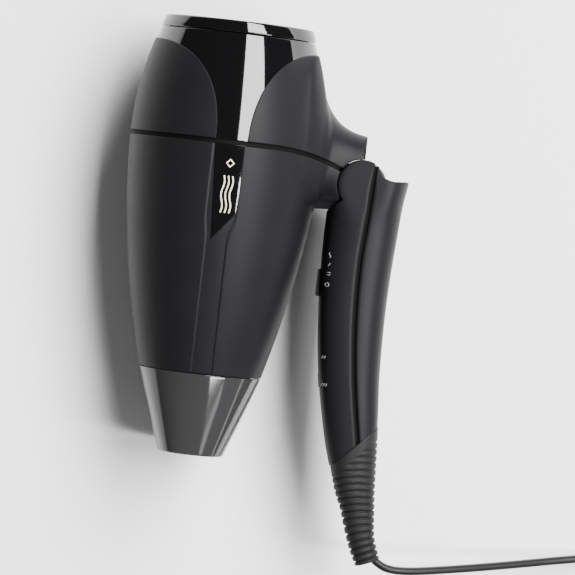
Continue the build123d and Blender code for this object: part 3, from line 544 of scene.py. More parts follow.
def carried(foot, way, across, along, halfU, halfV, section):
    # A section held upright, carried along a straight line and scaled by its two halves at each place.
    grid = (foot + way * along[:, None])[:, None, :] + across * (section[None, :, :1] * halfU[:, None, None])
    return grid + np.array([0, 0, 1.0]) * (section[None, :, 1:] * halfV[:, None, None])


def makePlug():
    # The body is a rounded section along its profile, with sine ribs on its sleeve and sine grips on its sides.
    end, way, across = plugFrame()
    along = np.concatenate([np.linspace(0, 12, 60), np.linspace(12.3, 37, 50), np.linspace(37.1, 38, 10)])
    sizes = through(plug["profile"], along)
    ribs = np.where(along < 9.5, 0.35 * np.maximum(np.sin(along * 2 * math.pi / 1.9), -0.4), 0)
    grips = np.where((along > 16) & (along < 31), -0.35 * np.maximum(np.sin(along * 2 * math.pi / 3.0), 0), 0)
    grid = carried(end, way, across, along, sizes[:, 0] + ribs + grips, sizes[:, 1] + ribs,
                   superSection(1, 1, 2.6, 64))
    points, faces = cappedTube(grid)
    body = recalculated(newMesh("plug_moulding", points, faces, mouldedTpe, "handle", slot="plug_black",
                                replaced=("plug_body",)))
    run, size = np.array(plug["pin"]).T
    feet = [end + way * plug["length"] + across * side * plug["pinSpacing"] / 2 for side in (1, -1)]
    circle = superSection(1, 1, 2.0, 32)
    points, faces = joined([cappedTube(carried(foot, way, across, run, size, size, circle)) for foot in feet])
    pins = recalculated(newMesh("plug_contacts", points, faces, nickelPlate, "handle", slot="nickel_brass",
                                replaced=("plug_pins",)))
    return body, pins


plugBody, plugPins = makePlug()


strap = {
    "halfAcross": 7.1,        # inside, across the coil's turns
    "halfHeight": 5.6,
    "middle": (coilX, coilY + 32.1, coilFloor + 5.4),
}


def makeTie():
    # The strap wraps the coil's section: a rounded rectangle loop, puffed a little between its edges.
    middle = np.array(strap["middle"])
    outer = superSection(strap["halfAcross"] + 0.55, strap["halfHeight"] + 0.75, 5.0, 72)
    inner = superSection(strap["halfAcross"], strap["halfHeight"] + 0.1, 5.0, 72)
    across = np.array([-7, -6.8, -5, 0, 5, 6.8, 7.0])
    puff = np.array([0.0, 0.12, 0.15, 0.15, 0.15, 0.12, 0.0])
    rowX = across[:, None] + np.zeros(72)
    rowPuff = puff[:, None]
    outerGrid = np.stack([rowX, outer[:, 0] * (1 + rowPuff / 12), outer[:, 1] * (1 + rowPuff / 14)], axis=-1)
    innerGrid = np.stack([rowX, inner[:, 0] + 0 * rowX, inner[:, 1] + 0 * rowX], axis=-1)
    skin = closedShell(outerGrid + middle, innerGrid + middle, True)
    return recalculated(newMesh("cord_strap", *skin, loopFabric, "handle", slot="tie_fabric",
                                replaced=("cord_tie",)))


tie = makeTie()
print("flex and plug done")

barrel = {
    "length": 138.6,
    "maxRadius": 39.6,
    "outletRadius": 25.2,
    "inletRadius": 32.2,
    "swell": 0.70,            # share of the length at which it is widest
    "power": 1.85,
    "split": 94.5,            # where front and rear mouldings meet
    "wall": 2.2,
    "grooveHalf": 0.9,
    "grooveDepth": 0.7,
    "petalStep": 0.5,
    "dropStart": 18.0,        # the split line falls from this x outwards
    "dropLength": 30.6,
    "dropDepth": 5.9,
}
neck = {
    "endTop": 102.6, "flareTop": 12.0, "flareStart": 40.0, "flareTopLength": 6.6,
    "halfDepth": 15.0, "flareDepth": 3.0, "flareDepthLength": 7.0,
    "root": 33.0,             # the flare grows no further inwards than this
    "notch": (42.0, 74.4),    # top of the rounded notch between neck and barrel
    "notchRadius": 3.7,
    "bottomSlope": 0.34,
    "power": 2.6,
    "blend": 1.6,             # the fillet between barrel and neck, at the outline
    "faceBlend": 11.0,        # and on the faces
}
hinge = {"x": 57.25, "y": 83.6, "knuckle": 10.25, "gap": 0.12, "closed": 223.0}    # degrees


def barrelRadius(y):
    # The radius falls from its largest by a power of the distance from the widest place.
    swellY = barrel["swell"] * barrel["length"]
    front = np.clip((swellY - y) / swellY, 0, None) ** barrel["power"]
    rear = np.clip((y - swellY) / (barrel["length"] - swellY), 0, None) ** barrel["power"]
    return (barrel["maxRadius"] - (barrel["maxRadius"] - barrel["outletRadius"]) * front
            - (barrel["maxRadius"] - barrel["inletRadius"]) * rear)


def insideNeck(x, y, z):
    # Below 1 inside the neck: a superellipse in y and z whose sizes flare towards the barrel by exp(-x).
    x = smoothMax(x, neck["root"], 4.0)
    beyond = x - neck["flareStart"]
    top = neck["endTop"] + neck["flareTop"] * np.exp(-beyond / neck["flareTopLength"])
    depth = neck["halfDepth"] + neck["flareDepth"] * np.exp(-beyond / neck["flareDepthLength"])
    beside = np.clip(neck["notch"][0] - x, 0, neck["notchRadius"])
    bottom = (neck["notch"][1] - neck["bottomSlope"] * np.maximum(x - neck["notch"][0], 0)
              - neck["notchRadius"] + np.sqrt(neck["notchRadius"] ** 2 - beside ** 2))
    middle = (top + bottom) / 2
    half = (top - bottom) / 2
    return np.abs((y - middle) / half) ** neck["power"] + np.abs(z / depth) ** neck["power"]


def neckEnd(y):
    # How far in x the neck reaches at y: its end face, the round pocket, or the slanted stop below it.
    room = hinge["knuckle"] + hinge["gap"]
    drop = np.clip(room ** 2 - (y - hinge["y"]) ** 2, 0, None)
    pocket = hinge["x"] - np.sqrt(drop)
    slope = 1 / math.tan(math.radians(hinge["closed"] - 180))
    low = hinge["y"] - room * math.sin(math.radians(hinge["closed"] - 180))
    slant = hinge["x"] - (hinge["y"] - y) * slope
    return np.where(y < low, slant, np.where(y < hinge["y"] + room, pocket, hinge["x"]))


def bodyRadius(y, angle):
    # Distance from the barrel's axis to the outside, along each direction, neck and fillet included.
    c = np.cos(angle)
    s = np.sin(angle)
    low = np.zeros_like(y * c)
    high = np.full_like(low, 78.0)
    for _ in range(26):
        middle = (low + high) / 2
        inside = insideNeck(middle * c, y, middle * s) < 1
        low = np.where(inside, middle, low)
        high = np.where(inside, high, middle)
    reach = np.where(c > 0.05, neckEnd(y) / np.maximum(c, 0.05), 0)
    neckR = np.where(c > 0.05, np.minimum(low, reach), 0)
    face = smoothStep(math.radians(8), math.radians(24), np.abs(np.arctan2(s, c)))
    blend = neck["blend"] + (neck["faceBlend"] - neck["blend"]) * face
    blend = blend * smoothStep(hinge["x"] - 8.0, hinge["x"] - 18.0, neckR * c)
    return smoothMax(barrelRadius(y) + 0 * low, neckR, np.maximum(blend, 0.01))


def splitDrop(x):
    # How far the split line falls below the barrel's, along the neck: a power of the distance past its start.
    return barrel["dropDepth"] * (np.clip(x - barrel["dropStart"], 0, None) / barrel["dropLength"]) ** 2.2


def splitLine(angle, offset=0.0):
    # y of the split line in each direction, solved by repeated substitution.
    y = np.full_like(angle, barrel["split"])
    for _ in range(40):
        x = bodyRadius(y, angle) * np.cos(angle)
        y = 0.6 * y + 0.4 * (barrel["split"] - splitDrop(x))
    return y + offset


petals = {
    "upper": {"edge": -3.8, "centre": -38.0, "top": 133.9, "power": 2.4},
    "neck": {"edge": 9.2, "centre": 38.0, "top": 134.4, "power": 2.2},
}


def archLine(which, angle):
    # y of a petal's arched edge in each direction: a superellipse in plan, solved by halving.
    shape = petals[which]
    span = abs(shape["centre"] - shape["edge"])
    rise = shape["top"] - barrel["split"]
    side = 1 if shape["centre"] > 0 else -1
    low = np.full_like(angle, barrel["split"])
    high = np.full_like(angle, shape["top"])
    for _ in range(34):
        y = (low + high) / 2
        x = side * barrelRadius(y) * np.cos(angle)
        left = np.clip(1 - np.clip((y - barrel["split"]) / rise, 0, 1) ** shape["power"], 0, 1)
        edge = abs(shape["centre"]) - span * left ** (1 / shape["power"])
        inside = x > edge
        low = np.where(inside, y, low)
        high = np.where(inside, high, y)
    return low


def nearest(points, line, chunk=4000):
    # Distance from each point to a polyline's vertices.
    flat = points.reshape(-1, 3)
    best = np.empty(len(flat))
    for i in range(0, len(flat), chunk):
        part = flat[i:i + chunk]
        best[i:i + chunk] = np.sqrt(((part[:, None, :] - line[None]) ** 2).sum(axis=2).min(axis=1))
    return best.reshape(points.shape[:-1])


def onBody(radius, y, angle):
    # Cylindrical places about the barrel's axis.
    return np.stack([radius * np.cos(angle), y + 0 * angle, radius * np.sin(angle)], axis=-1)


def bodyShell(name, angle, yLow, yHigh, shares, material, slot, replaced, closed, outerRadius, wall,
              lowRound=0.35, highRound=0.35, archEdge=False, body="barrel"):
    # A skin between two edge lines; its outside drops by a quarter circle at both edges.
    y = yLow[None, :] + (yHigh - yLow)[None, :] * shares
    directions = np.broadcast_to(angle[None, :], y.shape)
    radius = outerRadius(y, directions)
    points = onBody(radius, y, directions)
    lowGap = np.abs(y - yLow[None, :])
    if archEdge:
        highGap = np.minimum(nearest(points, points[-1]), highRound * 3)
    else:
        highGap = np.abs(yHigh[None, :] - y)
    radius = radius - rounding(lowGap, lowRound) - rounding(highGap, highRound)
    outer = onBody(radius, y, directions)
    rows = np.unique(np.linspace(0, y.shape[0] - 1, 9).astype(int))
    innerRadius = np.minimum(radius[rows] - 0.5, barrelRadius(y[rows]) - wall)
    inner = onBody(innerRadius, y[rows], directions[rows])
    points, faces = closedShell(outer, inner, True) if closed else sideClosed(outer, inner, rows)
    obj = newMesh(name, points, faces, material, body, slot=slot, replaced=replaced)
    return recalculated(obj, 0.000002)


def sideClosed(outer, inner, innerRows):
    # As closedShell, for an open patch whose inner grid keeps only some rows: fans fill the side walls.
    rows, columns = outer.shape[:2]
    points = np.concatenate([outer.reshape(-1, 3), inner.reshape(-1, 3)])
    start = rows * columns
    k = inner.shape[0]
    faces = [gridFaces(rows, columns, False), gridFaces(k, columns, False, start, True)]
    low = np.arange(columns)
    faces.append(bridge(low, start + low, False, True))
    faces.append(bridge((rows - 1) * columns + low, start + (k - 1) * columns + low, False))
    out = [f for group in faces for f in group.tolist()]
    for column, flip in ((0, False), (columns - 1, True)):
        for i in range(k - 1):
            run = [r * columns + column for r in range(innerRows[i], innerRows[i + 1] + 1)]
            ring = run + [start + (i + 1) * columns + column, start + i * columns + column]
            out.append(ring[::-1] if flip else ring)
    return points, out


def edgeShares(count, low=(0, 0.05, 0.12, 0.22, 0.35, 0.6), high=(0, 0.05, 0.12, 0.22, 0.35, 0.6), length=60.0):
    # Row positions from 0 to 1, close together in the last part of a millimetre at both edges.
    start = np.array(low) / length
    end = 1 - np.array(high)[::-1] / length
    middle = np.linspace(start[-1], end[0], count)[1:-1]
    return np.concatenate([start, middle, end])


band = {"left": -3.2, "right": 5.4, "depth": 0.32, "soft": 0.35}


def frontRadius(y, angle):
    # The body, with a shallow flat band down both sides below the label.
    radius = bodyRadius(y, angle)
    x = radius * np.cos(angle)
    wide = smoothStep(54.0, 66.0, y)
    left = band["left"] - 1.2 * wide
    right = band["right"] + 2.6 * wide
    inBand = smoothStep(left - band["soft"], left + band["soft"], x)
    inBand = inBand * (1 - smoothStep(right - band["soft"], right + band["soft"], x))
    return radius - band["depth"] * inBand * (np.abs(np.sin(angle)) > 0.5)


def makeBarrel():
    # Five skins about one axis, each with its own two edge lines, and rows crowded where the shape turns.
    front = np.concatenate([np.arange(-180, -104, 3.0), np.arange(-104, -72, 0.4), np.arange(-72, -32, 1.6),
                            np.arange(-32, 32, 0.3), np.arange(32, 72, 1.6), np.arange(72, 104, 0.4),
                            np.arange(104, 180, 3.0)])
    angle = np.radians(front)
    top = splitLine(angle, -barrel["grooveHalf"])
    rows = np.concatenate([[0, 0.05, 0.15, 0.3], np.linspace(0.8, 70, 34), np.linspace(71, 72.6, 6),
                           np.linspace(72.8, 75.0, 34), np.linspace(75.3, 93.0, 62),
                           barrel["split"] - 0.9 - np.array([0.35, 0.22, 0.1, 0.04, 0])])
    share = rows / rows[-1]
    bend = smoothStep(0.72, 1.0, share)[:, None]
    shares = share[:, None] * np.ones_like(top)[None, :]
    low = np.zeros_like(top)
    # below the neck the rows stay level; above it they lean over to end on the split line
    level = shares * rows[-1] / top[None, :]
    shares = level * (1 - bend) + shares * bend
    shares[0] = 0
    shares[-1] = 1
    bodyShell("barrel_front_moulding", angle, low, top, shares, softTouchCoat, "soft_touch_charcoal",
              ("front_shell",), True, frontRadius, barrel["wall"], 0.3, 0.4)

    around = np.radians(np.concatenate([np.arange(-180, -30, 2.0), np.arange(-30, 30, 0.75),
                                        np.arange(30, 180, 2.0)]))
    line = splitLine(around)
    shares = np.linspace(0, 1, 9)[:, None] * np.ones_like(line)[None, :]
    # The groove's trim wears the darker matt ABS, whose colour is painted shade.
    bodyShell("split_groove_trim", around, line - 1.3, line + 1.3, shares, grooveShadeAbs, "trim_black",
              ("groove_trim",), True, lambda y, a: bodyRadius(y, a) - barrel["grooveDepth"] - 0.4,
              3.6, 0.05, 0.05)

    ring = np.radians(np.arange(0, 360, 1.5))
    low = np.full_like(ring, barrel["split"] + 0.9)
    high = np.full_like(ring, barrel["length"])
    shares = edgeShares(60, length=44.0)[:, None] * np.ones_like(ring)[None, :]
    bodyShell("rear_gloss_moulding", ring, low, high, shares, polishedAbs, "gloss_black", ("rear_shell",), True,
              lambda y, a: barrelRadius(y) - barrel["petalStep"], 3.2, 0.2, 0.25)

    for which, sign, replaced, name in (("upper", -1, "petal_cover_upper", "upper_petal_cover"),
                                        ("neck", 1, "petal_cover_neck", "neck_petal_cover")):
        widest = math.acos(abs(petals[which]["edge"]) / barrelRadius(np.array(barrel["split"])))
        s = np.linspace(-1, 1, 321)
        spread = widest * (0.45 * s + 0.55 * np.sin(s * math.pi / 2)) * 0.9995
        direction = spread if sign > 0 else spread + math.pi
        low = splitLine(direction, barrel["grooveHalf"])
        arch = archLine(which, direction)
        arch = np.maximum(arch, low + 0.02)
        length = (arch - low)[None, :]
        near = np.array([0, 0.04, 0.1, 0.18, 0.28, 0.4, 0.6])[:, None] / np.maximum(length, 1.4)
        far = 1 - np.array([0.6, 0.4, 0.28, 0.18, 0.1, 0.04, 0])[:, None] / np.maximum(length, 1.4)
        t = np.linspace(0, 1, 170)[1:-1, None] ** 1.8
        middle = near[-1:] + (far[:1] - near[-1:]) * t
        shares = np.concatenate([near, middle, far])
        bodyShell(name, direction, low, arch, shares, softTouchCoat, "soft_touch_charcoal", (replaced,), False,
                  bodyRadius, 1.45, 0.4, 0.5, archEdge=True)


makeBarrel()
print("barrel done")


label = {
    "backLeft": -3.8, "backRight": 8.9,
    "frontLeft": (-1.3, 54.6), "frontRight": (8.1, 66.4),    # the slanted front end
    "leftLength": 40.0, "rightLength": 27.0,
    "sink": 0.12,             # below the barrel's outside
}


def makeLabels():
    # A glossy inlay on each side of the barrel: columns lean with its slanted front end.
    frontLeft, frontRight = label["frontLeft"], label["frontRight"]
    for side, node, name in ((1, "label_panel_left", "label_inlay_upper"),
                             (-1, "label_panel_right", "label_inlay_lower")):
        t = np.linspace(0, 1, 41)[None, :]
        s = edgeShares(44, length=40.0)[:, None]
        front = frontLeft[1] + (frontRight[1] - frontLeft[1]) * t
        y = front + (barrel["split"] - barrel["grooveHalf"] - front) * s
        left = frontLeft[0] + (label["backLeft"] - frontLeft[0]) * np.clip(
            (y - frontLeft[1]) / label["leftLength"], 0, 1)
        right = frontRight[0] + (label["backRight"] - frontRight[0]) * np.clip(
            (y - frontRight[1]) / label["rightLength"], 0, 1)
        x = left + (right - left) * t
        edge = np.minimum(np.minimum(x - left, right - x), y - front)
        radius = barrelRadius(y) - label["sink"] - rounding(edge, 0.2)
        z = side * np.sqrt(radius ** 2 - x ** 2)
        outer = np.stack([x, y, z], axis=-1)
        depth = 1 - 1.1 / radius
        inner = np.stack([x * depth, y, z * depth], axis=-1)
        points, faces = closedShell(outer, inner, False)
        recalculated(newMesh(name, points, faces, polishedAbs, "barrel", slot="gloss_black", replaced=(node,)))


def makeCap():
    # The rear ring is a profile turned about the barrel's axis.
    seam = barrel["length"] + 0.3
    end = barrel["length"] + 5.2
    outside = [(seam, 31.45), (seam + 0.12, 31.6), (seam + 0.4, 31.68), (seam + 2.0, 31.5), (end - 1.2, 30.78),
               (end - 0.6, 30.62), (end - 0.25, 30.4), (end - 0.05, 30.0), (end, 29.6), (end - 0.1, 29.0),
               (end - 0.5, 28.5), (end - 1.1, 28.3), (end - 1.75, 28.3)]
    inside = [(end - 3.4, 28.1), (seam - 4.0, 28.1), (seam - 4.0, 28.7), (seam - 0.1, 28.7), (seam, 29.2)]
    profile = np.array(outside + inside)
    angle = np.radians(np.arange(0, 360, 2.0))
    points = np.stack([profile[:, 1, None] * np.cos(angle), profile[:, 0, None] + 0 * angle,
                       profile[:, 1, None] * np.sin(angle)], axis=-1)
    recalculated(newMesh("rear_cap_gloss_ring", *loopedSkin(points), polishedAbs, "rear_cap",
                         slot="gloss_black", replaced=("rear_cap_ring",)))


nozzle = {
    "length": 33.4,
    "tipHalfX": 13.6,
    "tipHalfZ": 22.5,
    "squareness": 0.7,        # added to the outline's power of 2 towards the tip
    "wall": 1.6,
    "seam": 0.3,              # its edge stands this far off the barrel's
    "bore": 21.75,
    "boreDepth": 7.8,
}


def nozzleSection(y, inset, count=240):
    # From the barrel's circle to a rounded slot: the halves shrink and the power rises with distance.
    share = np.clip(-y / nozzle["length"], 0, 1)[:, None]
    halfX = barrel["outletRadius"] + (nozzle["tipHalfX"] - barrel["outletRadius"]) * share ** 1.04 - inset
    halfZ = barrel["outletRadius"] + (nozzle["tipHalfZ"] - barrel["outletRadius"]) * share - inset
    power = 2.0 + nozzle["squareness"] * share
    angle = np.linspace(0, 2 * math.pi, count, endpoint=False)[None, :]
    u, v = superCorner(angle, power)
    return np.stack([halfX * u, y[:, None] + 0 * u, halfZ * v], axis=-1)


def makeNozzle():
    # One closed skin: outside to the tip, round its lip, back inside, and out along the round bore.
    low = nozzle["length"]
    seam = nozzle["seam"]
    lip = np.array([0.5, 0.32, 0.18, 0.08, 0.02, 0.0])
    start = -seam - np.array([0, 0.01, 0.05, 0.12])
    yOut = np.concatenate([start, np.linspace(-1.2, -low + 0.9, 60), -low + lip])
    insetOut = np.concatenate([[0.03, 0.02, 0.01, 0.0], np.zeros(60), rounding(lip, 0.5)])
    yIn = np.concatenate([-low + lip[::-1], np.linspace(-low + 1.0, -nozzle["boreDepth"] - 0.3, 40)])
    insetIn = nozzle["wall"] - np.concatenate([rounding(lip[::-1], 0.5), np.zeros(40)])
    outside = nozzleSection(yOut, insetOut[:, None])
    inside = nozzleSection(yIn, insetIn[:, None])
    angle = np.linspace(0, 2 * math.pi, outside.shape[1], endpoint=False)
    yBore = np.array([-nozzle["boreDepth"], -nozzle["boreDepth"] + 0.2, -seam - 0.4, -seam])[:, None]
    rBore = (nozzle["bore"] + np.array([0, 0, 0, 0.3]))[:, None]
    bore = np.stack([rBore * np.cos(angle), yBore + 0 * angle, rBore * np.sin(angle)], axis=-1)
    grid = np.concatenate([outside, inside, bore])
    recalculated(newMesh("concentrator_nozzle", *loopedSkin(grid), polishedPps, "nozzle", slot="nozzle_gloss",
                         replaced=("nozzle",)))


def raisedMark(name, strokes, place, body, material, half=0.35, height=0.06):
    # Thin raised strokes; each stroke is a polyline in the surface's own two directions.
    skins = []
    for stroke in strokes:
        line = np.array(stroke, dtype=float)
        closed = np.allclose(line[0], line[-1])
        way = np.gradient(line, axis=0)
        if closed:
            way[0] = way[-1] = line[1] - line[-2]
        way /= np.linalg.norm(way, axis=1)[:, None]
        side = np.stack([-way[:, 1], way[:, 0]], axis=1) * half
        flatGrid = np.stack([line - side, line + side], axis=1)
        skins.append(closedShell(place(flatGrid, height), place(flatGrid, -0.3), False))
    return recalculated(newMesh(name, *joined(skins), material, body, slot="trim_black"), 0.0000001)


def waveStroke(x0, y0, length, rise, turns=1.0, count=25):
    # A wavy line along y: x = x0 + rise x sin(turns x 2 pi x share).
    t = np.linspace(0, 1, count)
    return np.stack([x0 + rise * np.sin(t * 2 * math.pi * turns), y0 + length * t], axis=1)


def ringStroke(x0, y0, radius, count=33):
    # A circle.
    t = np.linspace(0, 2 * math.pi, count)
    return np.stack([x0 + radius * np.cos(t), y0 + radius * np.sin(t)], axis=1)


def barStroke(x0, y0, x1, y1, count=5):
    # A straight bar.
    t = np.linspace(0, 1, count)[:, None]
    return np.array([x0, y0]) * (1 - t) + np.array([x1, y1]) * t


def makeLabelMark():
    # A plain mark: three wavy air lines, and a small diamond above them.
    def place(flat, height):
        # z = sqrt(radius^2 - x^2), on the label's face.
        radius = barrelRadius(flat[..., 1]) - label["sink"] + height
        z = np.sqrt(radius ** 2 - flat[..., 0] ** 2)
        return np.concatenate([flat, z[..., None]], axis=-1)
    strokes = [waveStroke(3.0 + 1.7 * k, 66.0, 15.0, 0.45, 1.5, 49) for k in (-1, 0, 1)]
    strokes.append([(3.2, 84.6), (4.7, 86.1), (3.2, 87.6), (1.7, 86.1), (3.2, 84.6)])
    raisedMark("label_airflow_mark", strokes, place, "barrel", creamInk, 0.3)


makeLabels()
makeLabelMark()
makeCap()
makeNozzle()
print("label, cap and nozzle done")

grip = {
    "inner": [(-38, 59.2), (-26, 55.2), (-10, 51.3), (6, 48.2), (22, 46.1), (39, 44.8), (55, 44.1), (72, 44.15),
              (98, 44.6)],
    "outer": [(-24, 75.7), (-11, 75.0), (5, 73.7), (21, 73.1), (46, 73.2), (63, 74.1), (79, 75.2), (87, 76.4),
              (98, 77.6)],
    "channel": [(-34, 70.1), (-20, 67.4), (4, 63.2), (31, 60.4), (53, 59.9), (72, 61.0), (86, 61.6),
                (93, 62.0)],
    "halfDepth": [(-40, 9.2), (-5, 12.6), (20, 14.0), (45, 14.6), (70, 15.0), (98, 15.2)],
    "power": 2.7,
    "wall": 2.2,
    "stop": 0.12,             # the handle's two end faces stand this far off the neck's
    "channelGap": 0.6,        # half the gap between the halves
}
seamLow = (58.1, -32.3)
seamHigh = (75.2, -13.6)
hingePlace = np.array([hinge["x"], hinge["y"]])


def ray(angleDegrees):
    # The unit direction at an angle.
    return np.array([math.cos(math.radians(angleDegrees)), math.sin(math.radians(angleDegrees))])


def arcPoints(centre, radius, start, end, count):
    # Evenly spaced places on a circle between two angles.
    angle = np.radians(np.linspace(start, end, count))
    return np.stack([centre[0] + radius * np.cos(angle), centre[1] + radius * np.sin(angle)], axis=1)


def alongLine(points, shares):
    # A polyline read at shares of its length.
    steps = np.linalg.norm(np.diff(points, axis=0), axis=1)
    at = np.concatenate([[0], np.cumsum(steps)]) / steps.sum()
    return np.stack([np.interp(shares, at, points[:, i]) for i in (0, 1)], axis=1)


def gripLine(which, low, high, count):
    # One of the grip's lines in plan, at evenly spaced y.
    y = np.linspace(low, high, count)
    return np.stack([through(grip[which], y)[:, 0], y], axis=1)


def handleHeight(x, y, headDistance):
    # Superellipse across the grip, which flattens towards the knuckle's cheek at 15 mm.
    low = through(grip["inner"], y)[..., 0]
    high = through(grip["outer"], y)[..., 0]
    depth = through(grip["halfDepth"], y)[..., 0]
    u = np.clip(np.abs((x - (low + high) / 2) / ((high - low) / 2)), 0, 1)
    across = depth * (1 - u ** grip["power"]) ** (1 / grip["power"])
    flat = smoothStep(hinge["knuckle"] + 9.0, hinge["knuckle"] - 3.0, headDistance)
    return across + (15.0 - across) * flat


def cornered(points, radius, count=7):
    # A polyline whose inner corners are rounded by quadratic curves that start a radius away.
    points = np.asarray(points, dtype=float)
    out = [points[0]]
    t = np.linspace(0, 1, count)[:, None]
    for before, corner, after in zip(points, points[1:], points[2:]):
        a = corner + (before - corner) * min(radius / np.linalg.norm(before - corner), 0.49)
        b = corner + (after - corner) * min(radius / np.linalg.norm(after - corner), 0.49)
        out += list((1 - t) ** 2 * a + 2 * t * (1 - t) * corner + t ** 2 * b)
    out.append(points[-1])
    return np.array(out)


def handleLines():
    # For each half: its channel edge and its outline, from the boot's seam up to where they meet at the head.
    shoulder = ray(hinge["closed"])
    side = np.array([shoulder[1], -shoulder[0]]) * -grip["stop"]
    stopFoot = hingePlace + shoulder * 17.9 - side
    foot = shoulder * hinge["knuckle"] - side
    knuckleFoot = hingePlace + foot / np.linalg.norm(foot) * hinge["knuckle"]
    inner = np.concatenate([gripLine("inner", -32.2, stopFoot[1] - 0.4, 60), cornered(
        [(stopFoot[0], stopFoot[1] - 0.3), stopFoot + shoulder * -0.9, knuckleFoot], 0.5)])
    startAngle = math.degrees(math.atan2(knuckleFoot[1] - hinge["y"], knuckleFoot[0] - hinge["x"])) % 360
    inner = np.concatenate([inner, arcPoints(hingePlace, hinge["knuckle"], startAngle, 66.5, 60)])
    step = [(76.0, 84.5), (76.45, 86.95), (69.4, 86.35), (65.4, 87.6), (63.1, 91.7)]
    outer = np.concatenate([gripLine("outer", -13.8, 84.0, 60), cornered(step, 1.6)[1:]])
    outer[-1] = hingePlace + ray(56.0) * hinge["knuckle"]
    return inner, outer


def handleSkin(name, node, sign):
    # One half: rows run from the channel's edge to the outline, over the upper face, down the side, and back.
    inner, outer = handleLines()
    outline = inner if sign < 0 else outer
    head = hingePlace + ray(66.5 if sign < 0 else 56.0) * hinge["knuckle"]
    channelLine = gripLine("channel", -22.6, 90.8, 80)
    channelLine[:, 0] += sign * grip["channelGap"]
    channelLine = np.concatenate([channelLine, head[None]])
    s = np.concatenate([[0, 0.0008, 0.002, 0.004], np.linspace(0.01, 0.5, 70), np.linspace(0.505, 1.0, 130)])
    edge = alongLine(outline, outlineShares(outline, channelLine, s))
    core = alongLine(channelLine, s)

    def surface(inset, columns=40):
        # Straight runs from channel to outline; height from handleHeight, less a quarter circle at each edge.
        tau = np.linspace(0, 1, columns)
        t = np.sin(tau * math.pi / 2) ** 0.8
        way = edge - core
        span = np.maximum(np.linalg.norm(way, axis=1), 0.001)[:, None]
        end = edge - way / span * np.minimum(inset, span * 0.6)
        xy = core[:, None, :] + (end - core)[:, None, :] * t[None, :, None]
        distance = np.linalg.norm(xy - hingePlace, axis=-1)
        z = handleHeight(xy[..., 0], xy[..., 1], distance)
        fromEdge = np.linalg.norm(end[:, None, :] - xy, axis=-1)
        fromCore = np.linalg.norm(core[:, None, :] - xy, axis=-1)
        foot = np.concatenate([[0], np.cumsum(np.linalg.norm(np.diff(core, axis=0), axis=1))])[:, None]
        walled = smoothStep(1.0, 5.0, z[:, -1:])
        z = z - rounding(fromEdge, 0.9) * walled - rounding(fromCore, 0.3) - rounding(foot, 0.3)
        z = np.maximum(z - inset, 0.02)
        rim = z[:, -1:]
        half = np.array([0.96, 0.86, 0.76, 0.66, 0.575, 0.56, 0.3])
        levels = np.concatenate([half, [0], -half[::-1]])
        wall = np.stack([end[:, None, 0] + 0 * levels, end[:, None, 1] + 0 * levels, rim * levels], axis=-1)
        upper = np.concatenate([xy, z[..., None]], axis=-1)
        lower = upper[:, ::-1] * (1, 1, -1)
        return np.concatenate([upper, wall, lower], axis=1)

    outerGrid = surface(0.0)
    innerGrid = surface(grip["wall"])
    rows, columns = outerGrid.shape[:2]
    mask = np.ones((rows - 1, columns - 1), dtype=bool)
    slotRows = np.where(outerGrid[:, 39, 2] > 12.0)[0]    # where the side is tall, the neck's tongue has a slot
    if len(slotRows):
        mask[slotRows[0]:, 45:49] = False
    recalculated(newMesh(name, *thickened(outerGrid, innerGrid, mask), softTouchCoat, "handle",
                         slot="soft_touch_charcoal", replaced=(node,)))


def outlineShares(outline, core, s):
    # Matches the outline to the channel: equal y along the grip, then evenly along the rest of the outline.
    steps = np.linalg.norm(np.diff(outline, axis=0), axis=1)
    at = np.concatenate([[0], np.cumsum(steps)]) / steps.sum()
    coreY = alongLine(core, s)[:, 1]
    top = 66.0
    lean = smoothStep(8.0, -22.6, coreY) * (outline[0, 1] - core[0, 1])
    wanted = coreY + lean
    straight = outline[:, 1] <= 70.5
    count = int(np.argmin(straight)) if not straight.all() else len(outline)
    low = np.interp(wanted, outline[:count, 1], at[:count])
    start = s[np.searchsorted(coreY, top)]
    startShare = np.interp(top, outline[:count, 1], at[:count])
    high = startShare + (1 - startShare) * np.clip((s - start) / (1 - start), 0, 1)
    return np.where(s < start, low, high)


def thickened(outer, inner, mask):
    # Two equal open grids; only masked cells are kept, and every free edge is closed between the two.
    rows, columns = outer.shape[:2]
    start = rows * columns
    points = np.concatenate([outer.reshape(-1, 3), inner.reshape(-1, 3)])
    cells = gridFaces(rows, columns, False)
    keep = mask.reshape(-1)
    faces = [cells[keep], cells[keep][:, ::-1] + start]
    padded = np.pad(mask, 1)
    number = np.arange(rows * columns).reshape(rows, columns)
    for beside, a, b in (
            (padded[:-2, 1:-1], number[:-1, :-1], number[:-1, 1:]),
            (padded[2:, 1:-1], number[1:, 1:], number[1:, :-1]),
            (padded[1:-1, :-2], number[1:, :-1], number[:-1, :-1]),
            (padded[1:-1, 2:], number[:-1, 1:], number[1:, 1:])):
        free = mask & ~beside
        faces.append(np.stack([b[free], a[free], a[free] + start, b[free] + start], axis=-1))
    return points, [f for group in faces for f in group.tolist()]


